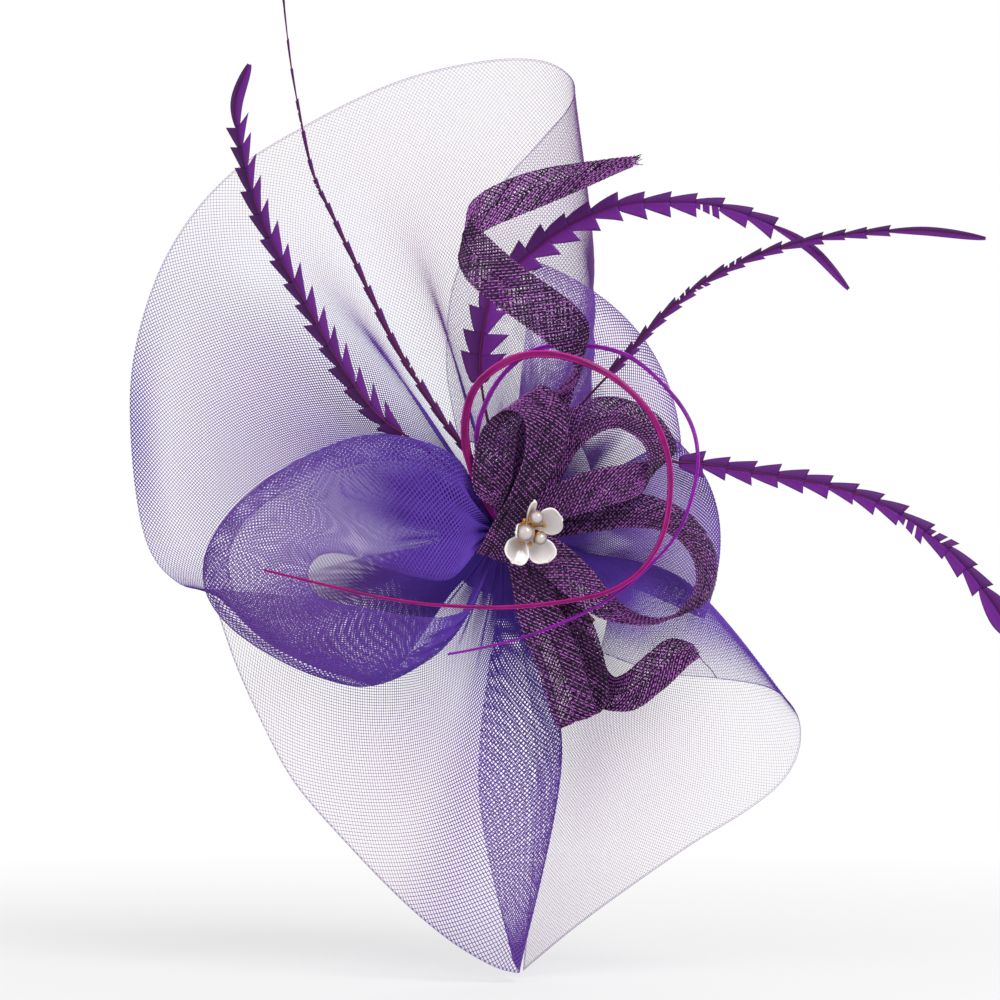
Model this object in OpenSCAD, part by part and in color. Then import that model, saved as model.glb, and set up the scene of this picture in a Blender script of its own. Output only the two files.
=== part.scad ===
// Fascinator headpiece: crinoline fans, sinamay loops, cut feathers, ring quills and a pearl flower
// gathered on a small felt-backed base with a sprung hair clip.
// Millimetres. X runs to the viewer's right, Y runs away from the viewer to the head, Z is up.
// The origin is the middle of the hair clip's grip.

/* [Base] */
// Diameter of the stiffened base disc
base_d = 64; // [60:1:80]
// Thickness of the base disc
base_t = 2.4; // [1.6:0.1:2.8]
// Thickness of the felt on the head side
felt_t = 1.6; // [1:0.1:2]
// Wall of the binding round the rim
rim_t = 0.8; // [0.6:0.1:1]
// Width of the binding's lip on the front of the disc
rim_lip = 4; // [2:0.5:7]
// Diameter of the glued core that holds every gathered root
core_d = 14; // [13:0.5:17]
// Length of the core in front of the disc
core_l = 35; // [34.5:0.1:36]

/* [Hair clip] */
// Length of the fixed jaw from the grip's middle to its tip
jaw_l = 30; // [29:0.5:32]
// Width over the fixed jaw
clip_w = 9; // [7.4:0.1:11]
// Thickness of the spring steel
jaw_t = 0.8; // [0.7:0.05:0.9]
// Gap between the closed jaws
grip_gap = 0.4; // [0.3:0.05:0.6]
// Distance of the hinge pin behind the grip's middle
pin_x = 10; // [8:0.5:12]
// Height of the hinge pin above the grip
pin_y = 4.2; // [4.2:0.1:5.2]
// Diameter of the hinge pin
pin_d = 1.6; // [1.3:0.1:2]
// Radial running clearance of the moving jaw on its pin
pin_clear = 0.05; // [0.03:0.01:0.08]
// Side gap between the moving jaw's cheeks and the fixed ones
cheek_gap = 0.3; // [0.2:0.05:0.4]
// Length of the thumb lever behind the pin
lever_l = 19; // [15:0.5:21]
// Rise of the thumb lever along its length
lever_rise = 7; // [5.5:0.1:9]
// Diameter of the spring's wire
wire_d = 0.7; // [0.5:0.05:0.7]
// Number of whole turns in the spring, beside the last half
coil_turns = 2; // [1:1:2]

/* [Crinoline] */
// Thickness of a crinoline sheet
mesh_t = 0.8; // [0.6:0.1:1]
// Reach of the crown fan above the core
crown_reach = 236; // [210:1:284]
// Drop of the face veil below the core
veil_drop = 222; // [185:1:268]
// Reach of the brow puff to the left
puff_reach = 150; // [142:1:160]
// Reach of the right fan
fan_reach = 148; // [140:1:160]
// Radius of the upper right loop at its top
upper_loop_reach = 135; // [115:1:140]
// Radius of the right loop
right_loop_reach = 107; // [95:1:115]

/* [Sinamay] */
// Width of the bias-cut sinamay strip
strip_w = 22; // [18:0.5:24]
// Thickness of the folded strip
strip_t = 0.9; // [0.7:0.1:1]

/* [Feathers] */
// Half width of a cut tooth on the broad feathers
broad_vane = 7; // [4:0.5:8]
// Half width of a cut tooth on the narrow feathers
narrow_vane = 3.5; // [2:0.5:5]
// Diameter of a feather's shaft at its root
shaft_d = 1.8; // [1.4:0.1:2.2]
// Forward lean of the barbs, as run over width
barb_lean = 0.8; // [0.4:0.05:1]

/* [Quills] */
// Diameter of the thick ring quill at its root
thick_quill_d = 4.8; // [4:0.1:5.4]
// Diameter of the thin ring quill at its root
thin_quill_d = 3; // [2.4:0.1:3.4]
// Diameter of both quills at the tip
quill_tip_d = 1.2; // [0.8:0.1:1.6]

/* [Flower] */
// Length of a petal
petal_l = 14; // [11:0.5:16]
// Width of a petal
petal_w = 12; // [10:0.5:13]
// Thickness of a petal
petal_t = 0.7; // [0.5:0.05:0.8]
// Rise of a petal's tip above its foot
petal_rise = 7; // [5:0.5:8.5]
// Diameter of the large pearl
big_pearl_d = 9; // [7.5:0.1:9.5]
// Diameter of the upper pearl
upper_pearl_d = 7; // [5.5:0.1:8]
// Diameter of the side pearl
side_pearl_d = 6.6; // [5.5:0.1:7]
// Diameter of the gold cup under the petals
cup_d = 9; // [8:0.5:11]

/* [Hidden] */
$fn = 48;
eps = 0.1;

// Stack of the base along Y, from the clip toward the viewer
felt_y = -grip_gap / 2 - jaw_t;
disc_y = felt_y - felt_t;
front_y = disc_y - base_t;
core_end_y = front_y - core_l;
root_r = core_d / 2 - 1;

// Clip
cheek_r = pin_d / 2 + 2.4;
inner_w = clip_w - 2 * jaw_t - 2 * cheek_gap;
inner_r = pin_d / 2 + 1.8;
coil_r = pin_d / 2 + 0.4 + wire_d / 2;
coil_pitch = wire_d + 0.45;
arm_y = pin_y + max(coil_r + wire_d / 2 + 0.6, 3.2);

// The rib lists below were drawn at these reaches and follow the ones set above
k_crown = crown_reach / 236;
k_veil = veil_drop / 222;
k_puff = puff_reach / 150;
k_fan = fan_reach / 148;

// Smooth curve through a list of points or ribs
function along(p, u) =
    let (
        n = len(p) - 1,
        i = max(0, min(floor(u), n - 1)),
        f = u - i,
        a = p[max(i - 1, 0)],
        b = p[i],
        c = p[i + 1],
        d = p[min(i + 2, n)]
    )
    0.5 * (2 * b + f * (c - a) + f * f * (2 * a - 5 * b + 4 * c - d) + f * f * f * (3 * b - a - 3 * c + d));

// Smooth curve across a rib: a parabola through three points, a spline through more
function across(r, t) =
    len(r) == 3
    ? (1 - t) * (1 - 2 * t) * r[0] + 4 * t * (1 - t) * r[1] + t * (2 * t - 1) * r[2]
    : along(r, t * (len(r) - 1));

function unit(v) = v / max(norm(v), 0.000001);

// Grid of points over a list of ribs
function rib_grid(ribs, nu, nt) =
    [for (i = [0 : nu])
        let (r = along(ribs, i * (len(ribs) - 1) / nu))
        [for (j = [0 : nt]) across(r, j / nt)]];

function grid_normal(g, i, j) =
    let (
        a = g[min(i + 1, len(g) - 1)][j] - g[max(i - 1, 0)][j],
        b = g[i][min(j + 1, len(g[0]) - 1)] - g[i][max(j - 1, 0)]
    )
    unit(cross(a, b));

// A root on the core at an angle and depth
function root(a, y, r = root_r) = [r * cos(a), y, r * sin(a)];

// Thin closed solid over a grid of points
module sheet(g, th) {
    nu = len(g) - 1;
    nt = len(g[0]) - 1;
    half = (nu + 1) * (nt + 1);
    front = [for (i = [0 : nu], j = [0 : nt]) g[i][j] + grid_normal(g, i, j) * th / 2];
    back = [for (i = [0 : nu], j = [0 : nt]) g[i][j] - grid_normal(g, i, j) * th / 2];
    function id(s, i, j) = s * half + i * (nt + 1) + j;
    faces = concat(
        [for (i = [0 : nu - 1], j = [0 : nt - 1]) [id(0, i, j), id(0, i, j + 1), id(0, i + 1, j)]],
        [for (i = [0 : nu - 1], j = [0 : nt - 1]) [id(0, i + 1, j), id(0, i, j + 1), id(0, i + 1, j + 1)]],
        [for (i = [0 : nu - 1], j = [0 : nt - 1]) [id(1, i, j), id(1, i + 1, j), id(1, i, j + 1)]],
        [for (i = [0 : nu - 1], j = [0 : nt - 1]) [id(1, i + 1, j), id(1, i + 1, j + 1), id(1, i, j + 1)]],
        [for (i = [0 : nu - 1]) [id(0, i, 0), id(0, i + 1, 0), id(1, i, 0)]],
        [for (i = [0 : nu - 1]) [id(1, i, 0), id(0, i + 1, 0), id(1, i + 1, 0)]],
        [for (i = [0 : nu - 1]) [id(0, i, nt), id(1, i, nt), id(0, i + 1, nt)]],
        [for (i = [0 : nu - 1]) [id(1, i, nt), id(1, i + 1, nt), id(0, i + 1, nt)]],
        [for (j = [0 : nt - 1]) [id(0, 0, j), id(1, 0, j), id(0, 0, j + 1)]],
        [for (j = [0 : nt - 1]) [id(1, 0, j), id(1, 0, j + 1), id(0, 0, j + 1)]],
        [for (j = [0 : nt - 1]) [id(0, nu, j), id(0, nu, j + 1), id(1, nu, j)]],
        [for (j = [0 : nt - 1]) [id(1, nu, j), id(0, nu, j + 1), id(1, nu, j + 1)]]
    );
    polyhedron(points = concat(front, back), faces = faces, convexity = 10);
}

// Closed solid through a list of rings with the same number of points
module loft(rings) {
    n = len(rings) - 1;
    m = len(rings[0]);
    function id(i, j) = i * m + j % m;
    faces = concat(
        [for (i = [0 : n - 1], j = [0 : m - 1]) [id(i, j), id(i + 1, j), id(i, j + 1)]],
        [for (i = [0 : n - 1], j = [0 : m - 1]) [id(i + 1, j), id(i + 1, j + 1), id(i, j + 1)]],
        [for (j = [1 : m - 2]) [id(0, 0), id(0, j), id(0, j + 1)]],
        [for (j = [1 : m - 2]) [id(n, 0), id(n, j + 1), id(n, j)]]
    );
    polyhedron(points = [for (r = rings) each r], faces = faces, convexity = 10);
}

// Direction of a path, and the side direction of something that faces the viewer
function heading(p, u) =
    unit(along(p, min(u + 0.05, len(p) - 1)) - along(p, max(u - 0.05, 0)));
function sideways(p, u) = unit(cross([0, 1, 0], heading(p, u)));

// Round tapering tube along a path
function tube_ring(p, u, r, sides) =
    let (c = along(p, u), t = heading(p, u), s = sideways(p, u), n = cross(s, t))
    [for (k = [0 : sides - 1]) c + r * (cos(360 * k / sides) * s - sin(360 * k / sides) * n)];

module tube(p, r0, r1, steps, sides) {
    last = len(p) - 1;
    loft([for (i = [0 : steps]) tube_ring(p, i * last / steps, r0 + (r1 - r0) * i / steps, sides)]);
}

// One ring of a feather: shaft in the middle, thin vane on both sides, barbs leaning forward
function feather_ring(p, u, w, r) =
    let (c = along(p, u), t = heading(p, u), s = sideways(p, u), n = cross(s, t), l = w * barb_lean)
    [
        c - w * s + l * t - 0.2 * n,
        c - w * s + l * t + 0.2 * n,
        c + r * n,
        c + w * s + l * t + 0.2 * n,
        c + w * s + l * t - 0.2 * n,
        c - r * n
    ];

// A feather cut into arrow teeth from share a to share b of its path, with a plain blade at the tip
module feather(p, teeth, vane, a, b) {
    last = len(p) - 1;
    least = shaft_d / 2 + 0.2;
    span = (b - a) / teeth;
    function size(x) = shaft_d / 2 * (1 - 0.6 * x);
    loft([
        feather_ring(p, 0, least, size(0)),
        feather_ring(p, a * last / 2, least, size(a / 2)),
        for (i = [0 : teeth - 1]) each [
            feather_ring(p, (a + i * span) * last, least, size(a + i * span)),
            feather_ring(p, (a + (i + 0.85) * span) * last, vane, size(a + i * span))
        ],
        feather_ring(p, b * last, least, size(b)),
        feather_ring(p, (0.65 * b + 0.35) * last, 0.8 * vane, size(b)),
        feather_ring(p, (0.3 * b + 0.7) * last, 0.7 * vane, size(b)),
        feather_ring(p, 0.99 * last, 0.5, 0.3)
    ]);
}

// A strip of sinamay: each station holds its middle, its width direction and its share of the width
function strip_ribs(st) =
    [for (s = st) let (d = unit(s[1]) * strip_w * s[2] / 2) [s[0] - d, s[0], s[0] + d]];

// A point just past the base's rim on the way from the core to m, so that a sheet leaves the base flat
function past_rim(m, y) = let (v = unit([m[0], 0, m[2]]) * (base_d / 2 + 8)) [v[0], y, v[2]];

// The direction round the core at an angle
function round_core(a) = [-sin(a), 0, cos(a)];

// Crown fan: root on the core, middle and outer edge of each rib,
// from the return at the right to the lower left
function crown_rib(a, y, m, e) =
    [
        root(a, y),
        past_rim(m, y),
        [m[0] * k_crown, m[1], m[2] * k_crown],
        [e[0] * k_crown, e[1], e[2] * k_crown]
    ];
crown_ribs = [
    crown_rib(58, -7.4, [38, 22, 62], [-30, 50, 88]),
    crown_rib(62, -7.8, [43, 30, 88], [-26, 62, 128]),
    crown_rib(66, -8.2, [45, 34, 110], [-6, 72, 172]),
    crown_rib(69, -8.5, [45, 32, 121], [18, 74, 200]),
    crown_rib(72, -8.8, [44, 25, 126], [34, 66, 219]),
    crown_rib(77, -9, [38, 15, 127], [34, 52, 231]),
    crown_rib(84, -9, [22, 8, 126], [18, 43, 239]),
    crown_rib(93, -9, [0, 5, 124], [-12, 38, 238]),
    crown_rib(103, -9, [-24, 5, 121], [-54, 38, 228]),
    crown_rib(113, -9, [-48, 5, 114], [-99, 40, 207]),
    crown_rib(124, -9, [-71, 5, 101], [-142, 40, 179]),
    crown_rib(137, -9, [-88, 4, 80], [-172, 36, 139]),
    crown_rib(152, -9, [-98, 4, 54], [-188, 32, 89]),
    crown_rib(165, -9, [-101, 3, 29], [-189, 27, 41]),
    crown_rib(178, -9, [-101, 3, 2], [-181, 21, -6]),
    crown_rib(189, -9, [-106, 4, -26], [-164, 14, -27]),
    crown_rib(199, -9, [-114, 6, -52], [-144, 9, -30]),
    crown_rib(209, -9, [-94, 7, -68], [-122, 6, -32]),
    crown_rib(220, -9, [-66, 8, -77], [-98, 4, -34])
];

// Face veil: from the left edge to the tip, then a pleat folded back behind
function veil_rib(a, y, m, e) =
    [root(a, y), past_rim(m, y), [m[0], m[1], m[2] * k_veil], [e[0], e[1], e[2] * k_veil]];
veil_ribs = [
    veil_rib(190, -12.6, [-76, -10, -15], [-145, -3, -36]),
    veil_rib(205, -12.4, [-74, -10, -36], [-134, -8, -67]),
    veil_rib(218, -12.2, [-66, -10, -54], [-119, -22, -98]),
    veil_rib(230, -12, [-54, -10, -70], [-103, -34, -125]),
    veil_rib(240, -12, [-39, -11, -86], [-77, -43, -154]),
    veil_rib(250, -12, [-24, -12, -99], [-50, -49, -181]),
    veil_rib(260, -12, [-8, -14, -107], [-27, -52, -200]),
    veil_rib(272, -12.2, [11, -16, -111], [-7, -52, -212]),
    veil_rib(284, -12.4, [27, -15, -110], [5, -49, -216]),
    veil_rib(288, -11.6, [24, -9, -117], [7, -43, -216]),
    veil_rib(284, -11, [4, -7, -125], [6, -38, -215]),
    veil_rib(276, -10.4, [-13, -5, -129], [4, -34, -212])
];

// Right fan: from the pleat at the tip round to the rolled upper edge, then its return in front
// Its last value is the share of the veil's drop that a rib follows, so that the two tips stay together.
function fan_rib(a, y, m, e, share) =
    let (k = 1 + (k_veil - 1) * share)
    [root(a, y), past_rim(m, y), [m[0] * k_fan, m[1], m[2] * k], [e[0] * k_fan, e[1], e[2] * k]];
fan_ribs = [
    fan_rib(297, -8.8, [16, -1, -119], [9, -29, -217], 1),
    fan_rib(303, -9, [32, -2, -109], [33, -29, -197], 1),
    fan_rib(309, -9.6, [46, -5, -97], [60, -29, -177], 0.9),
    fan_rib(315, -10.6, [60, -9, -84], [92, -28, -155], 0.75),
    fan_rib(321, -11.8, [71, -13, -71], [120, -26, -138], 0.6),
    fan_rib(327, -12.8, [80, -16, -57], [138, -24, -123], 0.4),
    fan_rib(333, -13.8, [87, -17, -43], [146, -22, -106], 0.25),
    fan_rib(339, -14.6, [90, -19, -27], [144, -22, -90], 0.1),
    fan_rib(342, -15.4, [87, -23, -25], [131, -26, -78], 0),
    fan_rib(340, -16.2, [78, -27, -30], [105, -30, -73], 0),
    fan_rib(335, -17, [63, -28, -35], [76, -31, -70], 0),
    fan_rib(328, -17.6, [50, -27, -36], [47, -30, -60], 0)
];

// A bow loop: far edge, middle and near edge of each station, out along the top and back along the bottom
function puff_rib(f, m, n) =
    [[f[0] * k_puff, f[1], f[2]], [m[0] * k_puff, m[1], m[2]], [n[0] * k_puff, n[1], n[2]]];
puff_ribs = [
    puff_rib([-5, -16, 2], [-5.5, -18, 1], [-5.5, -20, -1]),
    puff_rib([-15, -16, 16], [-14, -26, 14], [-14, -38, -10]),
    puff_rib([-27, -15, 28], [-24, -31, 30], [-26, -50, -23]),
    puff_rib([-46, -15, 34], [-44, -34, 39], [-40, -54, -23]),
    puff_rib([-68, -15, 34], [-67, -36, 42], [-58, -56, -18]),
    puff_rib([-91, -15, 28], [-90, -36, 36], [-75, -57, -12]),
    puff_rib([-112, -15, 18], [-113, -35, 24], [-87, -57, -11]),
    puff_rib([-129, -15, 5], [-132, -33, 7], [-94, -57, -15]),
    puff_rib([-137, -16, -12], [-144, -32, -12], [-96, -57, -23]),
    puff_rib([-135, -17, -28], [-144, -33, -31], [-92, -57, -31]),
    puff_rib([-125, -18, -43], [-132, -35, -47], [-83, -57, -35]),
    puff_rib([-106, -19, -55], [-111, -36, -61], [-71, -56, -37]),
    puff_rib([-85, -20, -63], [-88, -37, -71], [-57, -54, -40]),
    puff_rib([-64, -20, -66], [-66, -37, -75], [-42, -52, -42]),
    puff_rib([-42, -20, -58], [-44, -36, -67], [-28, -47, -42]),
    puff_rib([-22, -20, -42], [-24, -31, -49], [-16, -40, -35]),
    puff_rib([-4, -18.5, -4], [-4, -20.5, -5], [-3, -22.5, -5])
];

// A puffed loop between two angles: out in front, over its rolled edge and back behind
function polar(a, r, y) = [r * cos(a), y, r * sin(a)];
function loop_rib(a, f, rr, dy) = [for (k = [0 : 2]) polar(a[k], f * rr[k], dy)];
upper_angles = [84, 57, 31];
upper_radii = [upper_loop_reach, upper_loop_reach - 17, upper_loop_reach - 40];
upper_right_ribs = [
    [for (a = upper_angles) root(a, -12.4)],
    loop_rib(upper_angles, 0.3, upper_radii, -13),
    loop_rib(upper_angles, 0.6, upper_radii, -15),
    loop_rib(upper_angles, 0.86, upper_radii, -14),
    loop_rib(upper_angles, 1, upper_radii, -9),
    loop_rib(upper_angles, 0.93, upper_radii, -4),
    loop_rib(upper_angles, 0.74, upper_radii, -4),
    loop_rib(upper_angles, 0.5, upper_radii, -9.5)
];
right_angles = [29, 4, -24];
right_radii = [right_loop_reach - 11, right_loop_reach, right_loop_reach + 2];
right_loop_ribs = [
    [for (a = right_angles) root(a, -10)],
    loop_rib(right_angles, 0.38, right_radii, -10.5),
    loop_rib(right_angles, 0.68, right_radii, -10),
    loop_rib(right_angles, 0.9, right_radii, -7),
    loop_rib(right_angles, 1, right_radii, 1),
    loop_rib(right_angles, 0.9, right_radii, 9),
    loop_rib(right_angles, 0.66, right_radii, 10),
    loop_rib(right_angles, 0.45, right_radii, 5)
];

// Sinamay strips
tall_curl_run = [
    [root(78, -21), round_core(78), 0.45],
    [[8, -22, 22], [1, 0, -0.2], 0.8],
    [[16, -25, 46], [1, 0, -0.3], 1],
    [[24, -31, 66], [0.8, -0.1, 0.3], 1],
    [[35, -38, 78], [0.3, -0.3, 0.9], 1],
    [[38, -48, 89], [0.3, -0.1, 1], 1],
    [[26, -54, 102], [0.6, 0, 0.8], 1.05],
    [[4, -53, 118], [0.65, 0, 0.75], 1.05],
    [[-12, -47, 132], [0.65, 0.2, 0.75], 1.05],
    [[-20, -39, 146], [0.2, 0.4, 0.9], 1],
    [[-12, -34, 156], [-0.1, 0.3, 0.95], 0.9],
    [[4, -32, 164], [-0.1, 0.3, 0.95], 0.95],
    [[21, -31, 170], [-0.1, 0.4, 0.9], 0.9],
    [[38, -31, 175], [-0.1, 0.5, 0.85], 0.7],
    [[52, -31, 179], [-0.1, 0.5, 0.85], 0.45],
    [[63, -31, 182], [-0.1, 0.5, 0.85], 0.25]
];
top_loop_run = [
    [root(100, -31.4), round_core(100), 0.45],
    [[-6, -33.4, 20], [1, -0.1, 0.2], 0.8],
    [[-5, -35.4, 38], [1, -0.2, 0.2], 1],
    [[-1, -38, 55], [0.9, -0.3, 0.4], 1],
    [[9, -42, 65], [0.8, -0.1, 0.55], 1],
    [[19, -46, 58], [0.9, 0.2, 0.3], 1],
    [[20, -48, 42], [0.95, 0.1, 0.3], 1],
    [[13, -48, 24], [0.9, 0, 0.4], 1],
    [[4, -46, 8], [0.9, 0, 0.4], 1],
    [[-2, -44, -5], [1, 0, 0.2], 0.9],
    [[-7, -39, -13], [0.9, 0, -0.3], 0.7],
    [root(235, -30.4), round_core(235), 0.45]
];
upper_side_run = [
    [root(50, -27), round_core(50), 0.45],
    [[16, -29, 23], [-0.7, 0, 0.7], 0.8],
    [[33, -36, 49], [-0.4, 0.4, 0.8], 0.9],
    [[52, -37, 58], [-0.1, 0.6, 0.8], 0.9],
    [[70, -39, 51], [0.4, 0.6, 0.7], 0.9],
    [[77, -43, 37], [0.7, 0.6, 0.3], 0.9],
    [[69, -47, 26], [0.3, 0.5, 0.8], 0.9],
    [[47, -47, 21], [-0.1, 0.3, 0.95], 0.9],
    [[24, -42, 13], [-0.3, 0.1, 0.95], 0.8],
    [root(20, -38.4), round_core(20), 0.45]
];
lower_side_run = [
    [root(8, -24.6), round_core(8), 0.45],
    [[22, -28, 5], [0, 0, 1], 0.8],
    [[43, -33, 9], [-0.1, 0.2, 0.95], 0.9],
    [[65, -38, 10], [0.1, 0.5, 0.85], 0.9],
    [[86, -41, 3], [0.5, 0.7, 0.5], 0.9],
    [[98, -44, -14], [0.6, 0.8, 0.1], 0.9],
    [[95, -47, -33], [0.4, 0.9, -0.2], 0.9],
    [[75, -49, -44], [0, 1, 0.1], 0.9],
    [[52, -49, -39], [0.4, 0.8, 0.4], 0.9],
    [[35, -46, -24], [0.7, 0.4, 0.6], 0.9],
    [[20, -41, -11], [0.6, 0.1, 0.8], 0.8],
    [root(325, -36), round_core(325), 0.45]
];
strap_run = [
    [root(290, -33.4), round_core(290), 0.45],
    [[11, -38, -18], [0.95, 0, 0.3], 0.85],
    [[17, -42, -41], [0.93, 0, 0.37], 1],
    [[26, -43, -64], [0.93, 0, 0.37], 1],
    [[33, -42, -86], [0.93, 0, 0.37], 1],
    [[37, -38, -93], [0.93, 0, 0.37], 0.95],
    [[42, -34, -83], [0.93, 0, 0.37], 0.9],
    [[38, -33, -60], [0.93, 0, 0.37], 0.9],
    [[28, -32, -37], [0.93, 0, 0.37], 0.9],
    [[14, -30, -17], [0.9, 0, 0.4], 0.8],
    [root(295, -28), round_core(295), 0.45]
];
curl_run = [
    [root(308, -18.8), round_core(308), 0.45],
    [[16, -18.6, -20], [0.8, 0, 0.6], 0.8],
    [[31, -20, -50], [0.9, 0, 0.4], 0.9],
    [[44, -24, -76], [0.7, 0.2, 0.6], 0.9],
    [[59, -33, -80], [-0.1, 0.4, 0.9], 0.9],
    [[73, -38, -70], [-0.4, 0.3, 0.85], 0.9],
    [[85, -39, -60], [-0.5, 0.4, 0.75], 0.8],
    [[94, -36, -59], [-0.4, 0.6, 0.7], 0.4]
];

// Feather shafts
left_arrow_path = [
    root(140, -14),
    [-20, -13, 24],
    [-42, -11, 42],
    [-63, -10, 57],
    [-81, -10, 81],
    [-96, -10, 107],
    [-111, -10, 134],
    [-124, -11, 162],
    [-131, -12, 190],
    [-134, -13, 212],
    [-127, -14, 232]
];
left_thin_path = [
    root(120, -16),
    [-15, -17, 33],
    [-33, -18, 58],
    [-55, -18, 93],
    [-72, -18, 128],
    [-87, -18, 159],
    [-96, -19, 180],
    [-105, -20, 224],
    [-110, -21, 265],
    [-111, -22, 282]
];
centre_arrow_path = [
    root(98, -18),
    [-6, -20, 40],
    [-12, -21, 75],
    [-11, -20, 98],
    [-5, -17, 120],
    [12, -14, 137],
    [31, -12, 151],
    [55, -12, 161],
    [80, -13, 163],
    [105, -14, 161],
    [131, -15, 152],
    [153, -16, 139],
    [171, -17, 119]
];
upper_right_path = [
    root(62, -18),
    [20, -18.5, 36],
    [36, -20, 60],
    [57, -22, 83],
    [79, -24, 107],
    [104, -25, 126],
    [134, -26, 139],
    [168, -27, 146],
    [205, -27, 148],
    [238, -28, 144]
];
right_arrow_path = [
    root(22, -18),
    [35, -18, 22],
    [67, -18, 33],
    [96, -17, 33],
    [127, -17, 28],
    [160, -18, 22],
    [190, -18, 11],
    [220, -19, -10],
    [240, -20, -34],
    [251, -21, -52]
];

// Quills
thick_quill_path = [
    [-1, -23.5, 3],
    [-12, -25, 20],
    [-19, -29, 40],
    [-19, -38, 58],
    [-13, -50, 72],
    [2, -59, 83],
    [19, -62, 86],
    [38, -63, 82],
    [56, -63, 72],
    [71, -63, 56],
    [79, -63, 36],
    [80, -63, 17],
    [76, -63, -3],
    [66, -64, -19],
    [51, -65, -29],
    [30, -65, -34],
    [0, -65, -37],
    [-32, -65, -36],
    [-62, -65, -32],
    [-88, -65, -26],
    [-117, -65, -19]
];
thin_quill_path = [
    [-3, -28, 4],
    [-7, -28.4, 22],
    [-14, -29, 44],
    [-9, -29.5, 64],
    [2, -29, 80],
    [18, -28.5, 90],
    [42, -30, 91],
    [62, -35, 85],
    [80, -42, 69],
    [91, -48, 52],
    [94, -53, 34],
    [90, -56, 13],
    [82, -58, -4],
    [68, -59, -19],
    [52, -60, -32],
    [34, -60, -42],
    [8, -61, -52],
    [-12, -61, -57],
    [-28, -61, -60]
];
stub_path = [
    [3, -23.4, -5],
    [15, -24.4, -18],
    [28, -26, -34],
    [36, -27, -46]
];

// Flower frame: centre, and a tilt that turns its face to the viewer, down and to the right
flower_c = [10, -51, 1.4];
flower_tilt = [108, 0, 22];
petal_roll = 16;
foot_r = 3.2;
big_pearl_at = [-3.4, 0.2, 8.6];
upper_pearl_at = [1.2, 8.4, 9.4];
side_pearl_at = [4.8, -2.6, 8.6];

// Turns a shape drawn upward from the floor so that it points at the viewer
module facing(y) translate([0, y, 0]) rotate([90, 0, 0]) children();

module base_disc() color("#3a2448") facing(disc_y) cylinder(d = base_d, h = base_t);

module felt_backing() color("#2c1a38") facing(felt_y) cylinder(d = base_d, h = felt_t);

// Bias binding: a wall round the edge and a lip on the front
module rim_binding() color("#4a2c66") facing(felt_y) {
    difference() {
        cylinder(d = base_d + 2 * rim_t, h = felt_t + base_t + rim_t);
        translate([0, 0, -eps]) cylinder(d = base_d, h = felt_t + base_t + eps);
        cylinder(d = base_d - 2 * rim_lip, h = felt_t + base_t + 2 * rim_t);
    }
}

module bound_core() color("#50306a") facing(front_y) cylinder(d = core_d, h = core_l);

// Plate on its edge beside the pin, with a bore
module cheek(z, r, foot, bore) {
    translate([0, 0, z]) difference() {
        union() {
            translate([pin_x, pin_y, 0]) cylinder(r = r, h = jaw_t);
            translate([pin_x - r, min(foot, pin_y), 0]) cube([2 * r, abs(pin_y - foot), jaw_t]);
        }
        translate([pin_x, pin_y, -eps]) cylinder(d = bore, h = jaw_t + 2 * eps);
    }
}

module clip_fixed_jaw() color("#b8bcc4") {
    tail = pin_x + lever_l;
    translate([-jaw_l + clip_w / 2, felt_y, -clip_w / 2]) cube([jaw_l + tail - clip_w, jaw_t, clip_w]);
    for (x = [-jaw_l + clip_w / 2, tail - clip_w / 2])
        translate([x, felt_y, 0]) rotate([-90, 0, 0]) cylinder(d = clip_w, h = jaw_t);
    for (z = [-clip_w / 2, clip_w / 2 - jaw_t])
        cheek(z, cheek_r, felt_y + jaw_t / 2, pin_d);
}

// Sprung jaw and thumb lever bent from one strip, with inner cheeks that turn on the pin
module clip_moving_jaw() color("#c6cad2") {
    g = grip_gap / 2;
    tip = -jaw_l + 3;
    low = [
        [tip, g],
        [-14, g],
        [0, arm_y - 2],
        [pin_x - 4, arm_y - 0.3],
        [pin_x + 1, arm_y],
        [pin_x + lever_l, arm_y + lever_rise]
    ];
    high = [for (p = low) p + [0, jaw_t * 1.1]];
    linear_extrude(height = inner_w, center = true)
        polygon(concat(low, [for (i = [len(high) - 1 : -1 : 0]) high[i]]));
    for (z = [-inner_w / 2, inner_w / 2 - jaw_t])
        cheek(z, inner_r, arm_y + jaw_t / 3, pin_d + 2 * pin_clear);
    for (x = [tip + 2, tip + 5, tip + 8])
        translate([x, g - 0.25, -inner_w / 2]) cube([0.9, 0.5, inner_w]);
}

// Riveted pin through all four cheeks
module clip_pin() color("#8e929a") translate([pin_x, pin_y, 0]) {
    cylinder(d = pin_d, h = clip_w, center = true);
    for (z = [-clip_w / 2 - 0.5, clip_w / 2])
        translate([0, 0, z]) cylinder(d = pin_d + 1.2, h = 0.5);
}

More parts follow.
